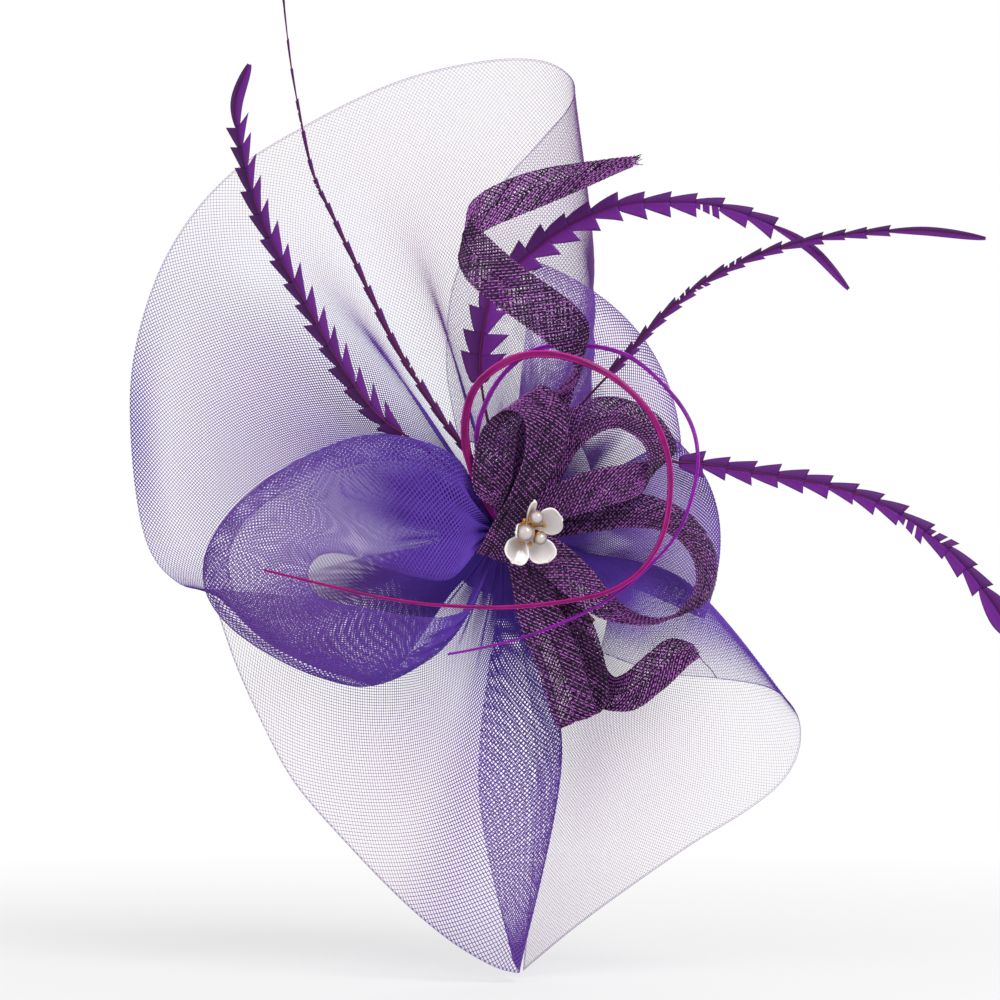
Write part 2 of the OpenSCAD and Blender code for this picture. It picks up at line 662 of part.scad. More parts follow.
// Torsion spring on the pin: lower leg, turns from back to front, upper leg
coil_n = 14;
coil_half = coil_pitch * (coil_turns + 0.5) / 2;
spring_path = concat(
    [
        [pin_x + 0.72 * lever_l, wire_d / 2 - grip_gap / 2 + 0.3, -coil_half],
        [pin_x + 0.4 * lever_l, pin_y * 0.45, -coil_half]
    ],
    [for (i = [0 : coil_n * coil_turns + coil_n / 2])
        let (a = -90 - 360 * i / coil_n)
        [pin_x + coil_r * cos(a), pin_y + coil_r * sin(a), -coil_half + coil_pitch * i / coil_n]],
    [
        [pin_x + 0.35 * lever_l, arm_y - 1.2 + 0.17 * lever_rise, coil_half],
        [pin_x + 0.72 * lever_l, arm_y - 1.2 + 0.58 * lever_rise, coil_half]
    ]
);
function spring_ring(i, sides) =
    let (
        n = len(spring_path) - 1,
        t = unit(spring_path[min(i + 1, n)] - spring_path[max(i - 1, 0)]),
        s = unit(cross([0, 0, 1], t)),
        b = cross(s, t)
    )
    [for (k = [0 : sides - 1])
        spring_path[i] + wire_d / 2 * (cos(360 * k / sides) * s - sin(360 * k / sides) * b)];
spring_gap = min([for (i = [0 : len(spring_path) - 10], j = [i + 9 : len(spring_path) - 1])
    norm(spring_path[i] - spring_path[j])]) - wire_d;
echo(spring_gap = spring_gap);
module clip_spring() color("#d8dade")
    loft([for (i = [0 : len(spring_path) - 1]) spring_ring(i, 6)]);

// Sewing thread over the fixed jaw, down to the felt on both sides
stitch_t = 0.5;
module clip_stitches() color("#51307a") {
    for (x = [-jaw_l + 1, pin_x + lever_l - 2.4, pin_x + lever_l - 4], s = [0 : 1]) {
        wide = clip_w / 2 + stitch_t;
        translate([x + s * 0.8 - 0.4, felt_y + jaw_t, -wide]) cube([stitch_t, stitch_t, 2 * wide]);
        for (z = [-wide, clip_w / 2])
            translate([x + s * 0.8 - 0.4, felt_y, z]) cube([stitch_t, jaw_t + stitch_t, stitch_t]);
    }
}

module crown_fan() color("#6a50b8") sheet(rib_grid(crown_ribs, 40, 8), mesh_t);
module brow_puff() color("#5a44ae") sheet(rib_grid(puff_ribs, 40, 6), mesh_t);
module face_veil() color("#7a68c0") sheet(rib_grid(veil_ribs, 33, 8), mesh_t);
module right_fan() color("#7060bc") sheet(rib_grid(fan_ribs, 33, 7), mesh_t);
module upper_right_loop() color("#8070c4") sheet(rib_grid(upper_right_ribs, 24, 5), mesh_t);
module right_loop() color("#8474c6") sheet(rib_grid(right_loop_ribs, 24, 5), mesh_t);

module strip(run, steps) sheet(rib_grid(strip_ribs(run), steps, 2), strip_t);
module tall_curl() color("#5c2270") strip(tall_curl_run, 45);
module top_loop() color("#642676") strip(top_loop_run, 33);
module upper_side_loop() color("#5a2070") strip(upper_side_run, 27);
module lower_side_loop() color("#602474") strip(lower_side_run, 33);
module hanging_strap() color("#66287a") strip(strap_run, 30);
module lower_curl() color("#5c2270") strip(curl_run, 21);

module left_arrow_feather() color("#6a2490") feather(left_arrow_path, 15, broad_vane, 0.24, 0.84);
module left_thin_feather() color("#5e2a86") feather(left_thin_path, 20, narrow_vane * 0.45, 0.12, 0.86);
module centre_arrow_feather() color("#6c2694") feather(centre_arrow_path, 16, broad_vane, 0.16, 0.84);
module upper_right_feather() color("#642a8c") feather(upper_right_path, 16, narrow_vane, 0.3, 0.84);
module right_arrow_feather() color("#682890") feather(right_arrow_path, 12, narrow_vane * 1.3, 0.34, 0.86);

module thick_ring_quill() color("#a8157e")
    tube(thick_quill_path, thick_quill_d / 2, quill_tip_d / 2, 60, 8);
module thin_ring_quill() color("#8e1fa0")
    tube(thin_quill_path, thin_quill_d / 2, quill_tip_d / 2, 54, 8);
module quill_stub() color("#741c44")
    tube(stub_path, thick_quill_d / 2, thick_quill_d / 2, 9, 8);

module on_flower() translate(flower_c) rotate(flower_tilt) children();

// Wire that carries the flower: along the core's axis, then bent to the flower's back
module flower_stem() color("#c98a2e") {
    stem_path = [
        [2, core_end_y + 3, -1],
        [5, core_end_y - 4, -1],
        [9, -44, -1.6],
        flower_c + [0.3, -0.7, -0.3]
    ];
    tube(stem_path, 0.6, 0.6, 12, 8);
}

// Dished gold cup with a collar that carries the petals
module flower_cup() color("#c98a2e") on_flower() {
    cylinder(d1 = cup_d * 0.5, d2 = cup_d, h = 1.4);
    cylinder(r = foot_r + 0.4, h = 3);
}

// Petal: narrow foot, round tip, cupped along its length and rolled so that neighbours overlap
function petal_half(u) = petal_w / 2 * pow(sin(180 * pow(0.06 + 0.86 * u, 0.85)), 0.7);
function petal_point(u, v) =
    let (w = petal_half(u) * v)
    [
        foot_r + petal_l * u * (1 - 0.06 * v * v),
        w * cos(petal_roll),
        2.4 + petal_rise * pow(u, 1.5) + w * sin(petal_roll) + 1.6 * v * v * sin(180 * u)
    ];
module petal(a) color("#f0edf2") on_flower() rotate([0, 0, a])
    sheet([for (i = [0 : 9]) [for (j = [0 : 8]) petal_point(i / 9, j / 4 - 1)]], petal_t);
module petal_right() petal(30);
module petal_top() petal(102);
module petal_left() petal(174);
module petal_lower_left() petal(238);
module petal_lower_right() petal(305);

module pearl(at, d) color("#f6f2ee") on_flower() translate(at) sphere(d = d);
module big_pearl() pearl(big_pearl_at, big_pearl_d);
module upper_pearl() pearl(upper_pearl_at, upper_pearl_d);
module side_pearl() pearl(side_pearl_at, side_pearl_d);

// Gold wires from the cup to the pearls, and four beaded stamens
module rod(a, b, d) {
    v = b - a;
    translate(a) rotate([0, acos(v[2] / norm(v)), atan2(v[1], v[0])])
        cylinder(d = d, h = norm(v), $fn = 16);
}
module stamens() color("#d39a3a") on_flower() {
    for (p = [big_pearl_at, upper_pearl_at, side_pearl_at])
        rod([0.4 * p[0], 0.2 * p[1], 2.4], p - [0, 0, 1.5], 0.7);
    for (s = [[-3.6, -5.6, 6.6], [0.6, -6.2, 6.6], [6.6, 3.4, 7], [-4.4, 6.4, 7.4]]) {
        rod([0.25 * s[0], 0.25 * s[1], 2.4], s, 0.6);
        translate(s) sphere(d = 2, $fn = 24);
    }
}

base_disc();
felt_backing();
rim_binding();
bound_core();
clip_fixed_jaw();
clip_moving_jaw();
clip_pin();
clip_spring();
clip_stitches();
crown_fan();
brow_puff();
face_veil();
right_fan();
upper_right_loop();
right_loop();
tall_curl();
top_loop();
upper_side_loop();
lower_side_loop();
hanging_strap();
lower_curl();
left_arrow_feather();
left_thin_feather();
centre_arrow_feather();
upper_right_feather();
right_arrow_feather();
thick_ring_quill();
thin_ring_quill();
quill_stub();
flower_stem();
flower_cup();
petal_right();
petal_top();
petal_left();
petal_lower_left();
petal_lower_right();
big_pearl();
upper_pearl();
side_pearl();
stamens();
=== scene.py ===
"""Looks of a fascinator headpiece: crinoline net, woven sinamay, cut feathers, ring quills and a pearl flower."""

import math

import bmesh
import bpy
import numpy as np
from bpy.props import FloatProperty, FloatVectorProperty, IntProperty, PointerProperty
from mathutils import Matrix, Vector


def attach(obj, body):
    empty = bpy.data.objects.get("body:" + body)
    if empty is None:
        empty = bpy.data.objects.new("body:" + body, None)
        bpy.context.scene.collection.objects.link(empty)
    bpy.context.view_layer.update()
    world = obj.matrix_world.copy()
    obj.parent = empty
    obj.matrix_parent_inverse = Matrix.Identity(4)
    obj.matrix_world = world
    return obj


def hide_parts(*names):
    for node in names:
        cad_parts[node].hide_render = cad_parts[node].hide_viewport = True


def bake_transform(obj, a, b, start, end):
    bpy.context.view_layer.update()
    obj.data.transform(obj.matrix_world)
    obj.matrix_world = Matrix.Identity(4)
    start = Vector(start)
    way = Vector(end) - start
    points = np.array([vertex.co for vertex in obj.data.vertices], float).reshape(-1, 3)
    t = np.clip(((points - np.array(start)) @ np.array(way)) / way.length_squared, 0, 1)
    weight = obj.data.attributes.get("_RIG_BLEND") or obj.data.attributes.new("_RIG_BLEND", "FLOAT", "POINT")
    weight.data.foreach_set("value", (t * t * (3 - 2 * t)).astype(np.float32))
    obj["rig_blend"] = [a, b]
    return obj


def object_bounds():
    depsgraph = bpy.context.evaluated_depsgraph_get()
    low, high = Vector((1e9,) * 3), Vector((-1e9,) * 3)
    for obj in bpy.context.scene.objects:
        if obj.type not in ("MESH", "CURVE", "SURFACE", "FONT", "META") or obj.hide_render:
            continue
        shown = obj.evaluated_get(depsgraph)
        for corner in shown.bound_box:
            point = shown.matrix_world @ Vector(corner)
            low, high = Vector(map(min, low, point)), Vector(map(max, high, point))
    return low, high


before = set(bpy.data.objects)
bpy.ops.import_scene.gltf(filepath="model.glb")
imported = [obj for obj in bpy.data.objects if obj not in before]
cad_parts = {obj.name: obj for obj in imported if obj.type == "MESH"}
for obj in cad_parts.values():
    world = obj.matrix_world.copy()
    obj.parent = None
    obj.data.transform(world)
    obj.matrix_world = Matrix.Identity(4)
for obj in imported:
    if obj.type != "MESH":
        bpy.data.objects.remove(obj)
CAD_BOX = [list(corner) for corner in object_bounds()]

bl_info = {
    "name": "Fascinator headpiece",
    "version": (1, 0, 0),
    "blender": (4, 5, 0),
    "location": "View3D > Sidebar > Fascinator",
    "description": "Builds a fascinator's net, strips, feathers, quills and flower on its packed frame",
    "category": "Object",
}

MM = 0.001
HEADPIECE = "headpiece"
JAW = "clip_jaw"

# Sizes that the part's source sets, in millimetres
BASE_D = 64.0
FELT_Y, DISC_Y, FRONT_Y, CORE_END_Y = -1.0, -2.6, -5.0, -40.0
CORE_R, ROOT_R = 7.0, 6.0
STRIP_W = 22.0
FLOWER_AT, FLOWER_TILT = (10.0, -51.0, 1.4), (108.0, 0.0, 22.0)


# Points of the part's source, in millimetres

def root(angle, y, r=ROOT_R):
    """Point on the core at an angle and depth."""
    a = math.radians(angle)
    return (r * math.cos(a), y, r * math.sin(a))


def past_rim(m, y):
    """Point just past the base's rim on the way from the core to m."""
    k = (BASE_D / 2 + 8) / math.hypot(m[0], m[2])
    return (m[0] * k, y, m[2] * k)


def fan_ribs(rows):
    """Ribs from the core over the rim to an outer edge; a row is angle, depth, middle and edge."""
    return [(root(a, y), past_rim(m, y), m, e) for a, y, m, e in rows]


def round_core(angle):
    a = math.radians(angle)
    return (-math.sin(a), 0, math.cos(a))


def loop_ribs(angles, radii, depth, rows):
    """Ribs of a puffed loop between angles; a row is share of the radii and depth."""
    ribs = [[root(a, depth) for a in angles]]
    for share, y in rows:
        ribs.append([root(a, y, share * r) for a, r in zip(angles, radii)])
    return ribs


CROWN = fan_ribs([
    (82, -6.8, (-4, 9, 42), (-23, 19, 45)),
    (67, -7.1, (16, 15, 46), (-27, 36, 63)),
    (58, -7.4, (38, 22, 62), (-30, 50, 88)),
    (62, -7.8, (43, 30, 88), (-26, 62, 128)),
    (66, -8.2, (45, 34, 110), (-6, 72, 172)),
    (69, -8.5, (45, 32, 121), (18, 74, 200)),
    (72, -8.8, (44, 25, 126), (34, 66, 219)),
    (77, -9, (38, 15, 127), (34, 52, 231)),
    (84, -9, (22, 8, 126), (18, 43, 239)),
    (93, -9, (0, 5, 124), (-12, 38, 238)),
    (103, -9, (-24, 5, 121), (-54, 38, 228)),
    (113, -9, (-48, 5, 114), (-99, 40, 207)),
    (124, -9, (-71, 5, 101), (-142, 40, 179)),
    (137, -9, (-88, 4, 80), (-172, 36, 139)),
    (152, -9, (-98, 4, 54), (-188, 32, 89)),
    (165, -9, (-101, 3, 29), (-189, 27, 41)),
    (178, -9, (-101, 3, 2), (-181, 21, -6)),
    (189, -9, (-106, 4, -26), (-164, 14, -27)),
    (199, -9, (-114, 6, -52), (-144, 9, -30)),
    (209, -9, (-94, 7, -68), (-122, 6, -32)),
    (220, -9, (-66, 8, -77), (-98, 4, -34)),
])
VEIL = fan_ribs([
    (190, -12.6, (-76, -10, -15), (-145, -3, -36)),
    (205, -12.4, (-74, -10, -36), (-134, -8, -67)),
    (218, -12.2, (-66, -10, -54), (-119, -22, -98)),
    (230, -12, (-54, -10, -70), (-103, -34, -125)),
    (240, -12, (-39, -11, -86), (-77, -43, -154)),
    (250, -12, (-24, -12, -99), (-50, -49, -181)),
    (260, -12, (-8, -14, -107), (-27, -52, -200)),
    (272, -12.2, (11, -16, -111), (-7, -52, -212)),
    (284, -12.4, (27, -15, -110), (5, -49, -216)),
    (288, -11.6, (24, -9, -117), (7, -43, -216)),
    (284, -11, (4, -7, -125), (6, -38, -215)),
    (276, -10.4, (-13, -5, -129), (4, -34, -212)),
])
RIGHT_FAN = fan_ribs([
    (297, -8.8, (16, -1, -119), (9, -29, -217)),
    (303, -9, (32, -2, -109), (33, -29, -197)),
    (309, -9.6, (46, -5, -97), (60, -29, -177)),
    (315, -10.6, (60, -9, -84), (92, -28, -155)),
    (321, -11.8, (71, -13, -71), (120, -26, -138)),
    (327, -12.8, (80, -16, -57), (138, -24, -123)),
    (333, -13.8, (87, -17, -43), (146, -22, -106)),
    (339, -14.6, (90, -19, -27), (144, -22, -90)),
    (342, -15.4, (87, -23, -25), (131, -26, -78)),
    (340, -16.2, (78, -27, -30), (105, -30, -73)),
    (335, -17, (63, -28, -35), (76, -31, -70)),
    (328, -17.6, (50, -27, -36), (47, -30, -60)),
])
PUFF = [
    ((-5, -16, 2), (-5.5, -18, 1), (-5.5, -20, -1)),
    ((-15, -16, 16), (-14, -26, 14), (-14, -38, -10)),
    ((-27, -15, 28), (-24, -31, 30), (-26, -50, -23)),
    ((-46, -15, 34), (-44, -34, 39), (-40, -54, -23)),
    ((-68, -15, 34), (-67, -36, 42), (-58, -56, -18)),
    ((-91, -15, 28), (-90, -36, 36), (-75, -57, -12)),
    ((-112, -15, 18), (-113, -35, 24), (-87, -57, -11)),
    ((-129, -15, 5), (-132, -33, 7), (-94, -57, -15)),
    ((-137, -16, -12), (-144, -32, -12), (-96, -57, -23)),
    ((-135, -17, -28), (-144, -33, -31), (-92, -57, -31)),
    ((-125, -18, -43), (-132, -35, -47), (-83, -57, -35)),
    ((-106, -19, -55), (-111, -36, -61), (-71, -56, -37)),
    ((-85, -20, -63), (-88, -37, -71), (-57, -54, -40)),
    ((-64, -20, -66), (-66, -37, -75), (-42, -52, -42)),
    ((-42, -20, -58), (-44, -36, -67), (-28, -47, -42)),
    ((-22, -20, -42), (-24, -31, -49), (-16, -40, -35)),
    ((-4, -18.5, -4), (-4, -20.5, -5), (-3, -22.5, -5)),
]
UPPER_LOOP = loop_ribs((84, 55, 24), (135, 118, 96), -12.4, [
    (0.3, -13), (0.6, -15), (0.86, -14), (1, -9), (0.93, -4), (0.74, -4), (0.5, -9.5),
])
RIGHT_LOOP = loop_ribs((29, 4, -24), (96, 107, 109), -10, [
    (0.38, -10.5), (0.68, -10), (0.9, -7), (1, 1), (0.9, 9), (0.66, 10), (0.45, 5),
])

# Each station of a strip: middle, width direction, share of the width
STRIPS = {
    "tall_curl": [
        (root(78, -21), round_core(78), 0.45),
        ((8, -22, 22), (1, 0, -0.2), 0.8),
        ((16, -25, 46), (1, 0, -0.3), 1),
        ((24, -31, 66), (0.8, -0.1, 0.3), 1),
        ((35, -38, 78), (0.3, -0.3, 0.9), 1),
        ((38, -48, 89), (0.3, -0.1, 1), 1),
        ((26, -54, 102), (0.6, 0, 0.8), 1.05),
        ((4, -53, 118), (0.65, 0, 0.75), 1.05),
        ((-12, -47, 132), (0.65, 0.2, 0.75), 1.05),
        ((-20, -39, 146), (0.2, 0.4, 0.9), 1),
        ((-12, -34, 156), (-0.1, 0.3, 0.95), 0.9),
        ((4, -32, 164), (-0.1, 0.3, 0.95), 0.95),
        ((21, -31, 170), (-0.1, 0.4, 0.9), 0.9),
        ((38, -31, 175), (-0.1, 0.5, 0.85), 0.7),
        ((52, -31, 179), (-0.1, 0.5, 0.85), 0.45),
        ((63, -31, 182), (-0.1, 0.5, 0.85), 0.25),
    ],
    "top_loop": [
        (root(100, -31.4), round_core(100), 0.45),
        ((-6, -33.4, 20), (1, -0.1, 0.2), 0.8),
        ((-5, -35.4, 38), (1, -0.2, 0.2), 1),
        ((-1, -38, 55), (0.9, -0.3, 0.4), 1),
        ((9, -42, 65), (0.8, -0.1, 0.55), 1),
        ((19, -46, 58), (0.9, 0.2, 0.3), 1),
        ((20, -48, 42), (0.95, 0.1, 0.3), 1),
        ((13, -48, 24), (0.9, 0, 0.4), 1),
        ((4, -46, 8), (0.9, 0, 0.4), 1),
        ((-2, -44, -5), (1, 0, 0.2), 0.9),
        ((-7, -39, -13), (0.9, 0, -0.3), 0.7),
        (root(235, -30.4), round_core(235), 0.45),
    ],
    "upper_side_loop": [
        (root(50, -27), round_core(50), 0.45),
        ((16, -29, 23), (-0.7, 0, 0.7), 0.8),
        ((33, -36, 49), (-0.4, 0.4, 0.8), 0.9),
        ((52, -37, 58), (-0.1, 0.6, 0.8), 0.9),
        ((70, -39, 51), (0.4, 0.6, 0.7), 0.9),
        ((77, -43, 37), (0.7, 0.6, 0.3), 0.9),
        ((69, -47, 26), (0.3, 0.5, 0.8), 0.9),
        ((47, -47, 21), (-0.1, 0.3, 0.95), 0.9),
        ((24, -42, 13), (-0.3, 0.1, 0.95), 0.8),
        (root(20, -38.4), round_core(20), 0.45),
    ],
    "lower_side_loop": [
        (root(8, -24.6), round_core(8), 0.45),
        ((22, -28, 5), (0, 0, 1), 0.8),
        ((43, -33, 9), (-0.1, 0.2, 0.95), 0.9),
        ((65, -38, 10), (0.1, 0.5, 0.85), 0.9),
        ((86, -41, 3), (0.5, 0.7, 0.5), 0.9),
        ((98, -44, -14), (0.6, 0.8, 0.1), 0.9),
        ((95, -47, -33), (0.4, 0.9, -0.2), 0.9),
        ((75, -49, -44), (0, 1, 0.1), 0.9),
        ((52, -49, -39), (0.4, 0.8, 0.4), 0.9),
        ((35, -46, -24), (0.7, 0.4, 0.6), 0.9),
        ((20, -41, -11), (0.6, 0.1, 0.8), 0.8),
        (root(325, -36), round_core(325), 0.45),
    ],
    "hanging_strap": [
        (root(290, -33.4), round_core(290), 0.45),
        ((11, -38, -18), (0.95, 0, 0.3), 0.85),
        ((17, -42, -41), (0.93, 0, 0.37), 1),
        ((26, -43, -64), (0.93, 0, 0.37), 1),
        ((33, -42, -86), (0.93, 0, 0.37), 1),
        ((37, -38, -93), (0.93, 0, 0.37), 0.95),
        ((42, -34, -83), (0.93, 0, 0.37), 0.9),
        ((38, -33, -60), (0.93, 0, 0.37), 0.9),
        ((28, -32, -37), (0.93, 0, 0.37), 0.9),
        ((14, -30, -17), (0.9, 0, 0.4), 0.8),
        (root(295, -28), round_core(295), 0.45),
    ],
    "lower_curl": [
        (root(308, -18.8), round_core(308), 0.45),
        ((16, -18.6, -20), (0.8, 0, 0.6), 0.8),
        ((31, -20, -50), (0.9, 0, 0.4), 0.9),
        ((44, -24, -76), (0.7, 0.2, 0.6), 0.9),
        ((59, -33, -80), (-0.1, 0.4, 0.9), 0.9),
        ((73, -38, -70), (-0.4, 0.3, 0.85), 0.9),
        ((85, -39, -60), (-0.5, 0.4, 0.75), 0.8),
        ((94, -36, -59), (-0.4, 0.6, 0.7), 0.4),
    ],
}

# Each feather: shaft path, number of cut teeth, half width, shares of the path where the teeth start and stop
FEATHERS = {
    "left_arrow_feather": ([
        root(140, -14), (-20, -13, 24), (-42, -11, 42), (-63, -10, 57), (-81, -10, 81), (-96, -10, 107),
        (-111, -10, 134), (-124, -11, 162), (-131, -12, 190), (-134, -13, 212), (-127, -14, 232),
    ], 15, 7.0, 0.24, 0.84),
    "left_thin_feather": ([
        root(120, -16), (-15, -17, 33), (-33, -18, 58), (-55, -18, 93), (-72, -18, 128), (-87, -18, 159),
        (-96, -19, 180), (-105, -20, 224), (-110, -21, 265), (-111, -22, 282),
    ], 20, 1.6, 0.12, 0.86),
    "centre_arrow_feather": ([
        root(98, -18), (-6, -20, 40), (-12, -21, 75), (-11, -20, 98), (-5, -17, 120), (12, -14, 137),
        (31, -12, 151), (55, -12, 161), (80, -13, 163), (105, -14, 161), (131, -15, 152), (153, -16, 139),
        (171, -17, 119),
    ], 16, 7.0, 0.16, 0.84),
    "upper_right_feather": ([
        root(62, -18), (20, -18.5, 36), (36, -20, 60), (57, -22, 83), (79, -24, 107), (104, -25, 126),
        (134, -26, 139), (168, -27, 146), (205, -27, 148), (238, -28, 144),
    ], 16, 3.5, 0.3, 0.84),
    "right_arrow_feather": ([
        root(22, -18), (35, -18, 22), (67, -18, 33), (96, -17, 33), (127, -17, 28), (160, -18, 22),
        (190, -18, 11), (220, -19, -10), (240, -20, -34), (251, -21, -52),
    ], 13, 4.55, 0.295, 0.86),
}

# How each feather is cut: width share at the first and last tooth, then for both sides the width share, the forward
# lean of the barbs, the share of the width left at a notch and the half width of the plain blade, then the tone
FEATHER_CUTS = {
    "left_arrow_feather": ((1.1, 0.9), (0.85, 1.1), (0.3, 0.95), (0.42, 0.14), (2.4, 3.6), -0.15),
    "left_thin_feather": ((2.0, 0.4), (0.8, 0.9), (0.6, 0.7), (0.5, 0.4), (0.5, 0.7), -0.35),
    "centre_arrow_feather": ((1.5, 0.72), (0.95, 1.25), (0.15, 0.12), (0.45, 0.27), (2.2, 2.6), 0.2),
    "upper_right_feather": ((0.85, 0.9), (1.0, 1.0), (0.5, 0.4), (0.4, 0.4), (2.0, 2.2), -0.15),
    "right_arrow_feather": ((1.4, 1.3), (1.0, 1.05), (0.3, 0.15), (0.4, 0.36), (6.0, 6.0), 0.15),
}

# Each quill: path, radius at the root and at the tip, finish and slot
QUILLS = {
    "thick_ring_quill": ([
        (-1, -23.5, 3), (-12, -25, 20), (-19, -29, 40), (-19, -38, 58), (-13, -50, 72), (2, -59, 83),
        (19, -62, 86), (38, -63, 82), (56, -63, 72), (71, -63, 56), (79, -63, 36), (80, -63, 17),
        (76, -63, -3), (66, -64, -19), (51, -65, -29), (30, -65, -34), (0, -65, -37), (-32, -65, -36),
        (-62, -65, -32), (-88, -65, -26), (-117, -65, -19),
    ], 2.4, 0.6, "magenta", "quill_magenta"),
    "thin_ring_quill": ([
        (-3, -28, 4), (-7, -28.4, 22), (-14, -29, 44), (-9, -29.5, 64), (2, -29, 80), (18, -28.5, 90),
        (42, -30, 91), (62, -35, 85), (80, -42, 69), (91, -48, 52), (94, -53, 34), (90, -56, 13),
        (82, -58, -4), (68, -59, -19), (52, -60, -32), (34, -60, -42), (8, -61, -52), (-12, -61, -57),
        (-28, -61, -60),
    ], 1.5, 0.6, "violet", "quill_purple"),
    "quill_stub": ([(3, -23.4, -5), (16, -24.4, -18), (31, -26, -34), (43, -27, -46)], 2.4, 2.4,
                   "maroon", "quill_maroon"),
}


def linear(text):
    """Scene-linear colour of an sRGB hex code."""
    raw = [int(text[i:i + 2], 16) / 255 for i in (1, 3, 5)]
    return tuple(c / 12.92 if c <= 0.04045 else ((c + 0.055) / 1.055) ** 2.4 for c in raw)


def length_prop(name, description, default):
    return FloatProperty(name=name, description=description, default=default, min=0, unit="LENGTH", precision=5)


def colour_prop(name, description, code):
    return FloatVectorProperty(
        name=name, description=description, default=linear(code), size=3, min=0, max=1, subtype="COLOR"
    )


class NetSettings(bpy.types.PropertyGroup):
    """Crinoline net."""

    pitch: length_prop("Mesh pitch", "Distance between parallel threads at the outer edge", 0.002)
    thread: length_prop("Thread width", "Width of a single thread in the plane of the net", 0.00013)
    depth: length_prop("Thread depth", "Depth of a thread across the net", 0.00028)
    step: length_prop("Thread step", "Longest straight piece of a thread", 0.006)
    turn: FloatProperty(
        name="Thread turn", description="Largest turn between two pieces of a thread", default=0.4, subtype="ANGLE"
    )
    # Both net colours are partly the nylon's own violet: the gathered colour adds a painted sheen of dense net, the
    # open colour the painted back-lit look of single threads.
    gathered: colour_prop("Gathered colour", "Colour where the net is gathered", "#6340B8")
    # The under colour is a lighter copy of the gathered colour, painted to lift the loops out of the strips' shadow.
    under: colour_prop("Under colour", "Colour of the loops behind the strips", "#7C55D6")
    open: colour_prop("Open colour", "Colour of single threads at the outer edge", "#93599E")


class SinamaySettings(bpy.types.PropertyGroup):
    """Woven sinamay strips."""

    pitch: length_prop("Weave pitch", "Distance between parallel fibres", 0.0015)
    fibre: length_prop("Fibre width", "Width of a fibre", 0.0006)
    depth: length_prop("Fibre depth", "Thickness of a fibre", 0.0002)
    wave: length_prop("Weave wave", "How far a fibre rises over the next one", 0.00013)
    layer: length_prop("Layer height", "Half the distance between the two folded layers", 0.0003)
    # Both sinamay colours are painted: shade for the dark ground of fibres that lie under, glint for the sheen on
    # fibres that lie over.
    dark: colour_prop("Shade", "Colour of the fibres in shade", "#160620")
    bright: colour_prop("Glint", "Colour of the shiny fibres", "#C46CD2")


class FeatherSettings(bpy.types.PropertyGroup):
    """Cut feathers."""

    thickness: length_prop("Vane thickness", "Thickness of the vane", 0.00022)
    shaft: length_prop("Shaft radius", "Radius of the shaft at its root", 0.0008)
    dark: colour_prop("Shaded vane", "Colour of the vane on the shaded side", "#2A0834")
    bright: colour_prop("Lit vane", "Colour of the vane on the lit side", "#6C1E8A")
    spine: colour_prop("Shaft colour", "Colour of the shaft", "#5C0C46")


class QuillSettings(bpy.types.PropertyGroup):
    """Ring quills."""

    sides: IntProperty(name="Sides", description="Sides of a quill's section", default=16, min=6)
    magenta: colour_prop("Thick quill", "Colour of the thick ring quill", "#8C0468")
    violet: colour_prop("Thin quill", "Colour of the thin ring quill", "#7E0E92")
    maroon: colour_prop("Stub", "Colour of the cut stub", "#5E1034")


class FlowerSettings(bpy.types.PropertyGroup):
    """Pearl flower."""

    petal: colour_prop("Petal", "Colour of the petals", "#F2EAE8")
    # The petal shade is the colour of the painted shade in the petals' hollow.
    shade: colour_prop("Petal shade", "Colour of the petals' hollow", "#86716F")
    pearl: colour_prop("Pearl", "Colour of the pearls", "#BDB0AC")
    gold: colour_prop("Gold", "Colour of the cup, wires and stamens", "#C98F3A")


class FindingSettings(bpy.types.PropertyGroup):
    """Base, binding and clip."""

    felt: colour_prop("Felt", "Colour of the felt backing", "#2E1C48")
    binding: colour_prop("Binding", "Colour of the binding round the rim", "#6A58B0")
    buckram: colour_prop("Base", "Colour of the stiff base", "#6654AE")
    thread: colour_prop("Thread", "Colour of the sewing thread and the wrapping", "#3C2A90")
    steel: colour_prop("Steel", "Colour of the clip", "#B9BCC2")


class StageSettings(bpy.types.PropertyGroup):
    """Floor, light and camera."""

    field: length_prop("Field", "Width of the picture at the core", 0.5)
    distance: length_prop("Camera distance", "Distance of the camera in front of the core", 2.2)
    world: FloatProperty(name="World light", description="Strength of the even light", default=0.45, min=0)
    key: FloatProperty(name="Key light", description="Power of the large lamp", default=27, min=0, unit="POWER")
    fill: FloatProperty(name="Fill light", description="Power of the second lamp", default=8, min=0, unit="POWER")


class FascinatorSettings(bpy.types.PropertyGroup):
    """All settings of the headpiece."""

    net: PointerProperty(type=NetSettings)
    sinamay: PointerProperty(type=SinamaySettings)
    feather: PointerProperty(type=FeatherSettings)
    quill: PointerProperty(type=QuillSettings)
    flower: PointerProperty(type=FlowerSettings)
    finding: PointerProperty(type=FindingSettings)
    stage: PointerProperty(type=StageSettings)


def settings():
    return bpy.context.scene.fascinator


# Curves and sheets

def unit(v):
    return v / np.maximum(np.linalg.norm(v, axis=-1, keepdims=True), 1e-12)


def ease(x):
    """Smooth rise from 0 to 1."""
    x = np.clip(x, 0, 1)
    return x * x * (3 - 2 * x)


def bell(x, middle, width):
    """Smooth hump of height 1."""
    return np.exp(-(((x - middle) / width) ** 2))


def through(a, b, c, d, f):
    """Smooth curve from b to c at share f, with a before them and d after."""
    return 0.5 * (2 * b + f * (c - a) + f**2 * (2 * a - 5 * b + 4 * c - d) + f**3 * (3 * b - a - 3 * c + d))


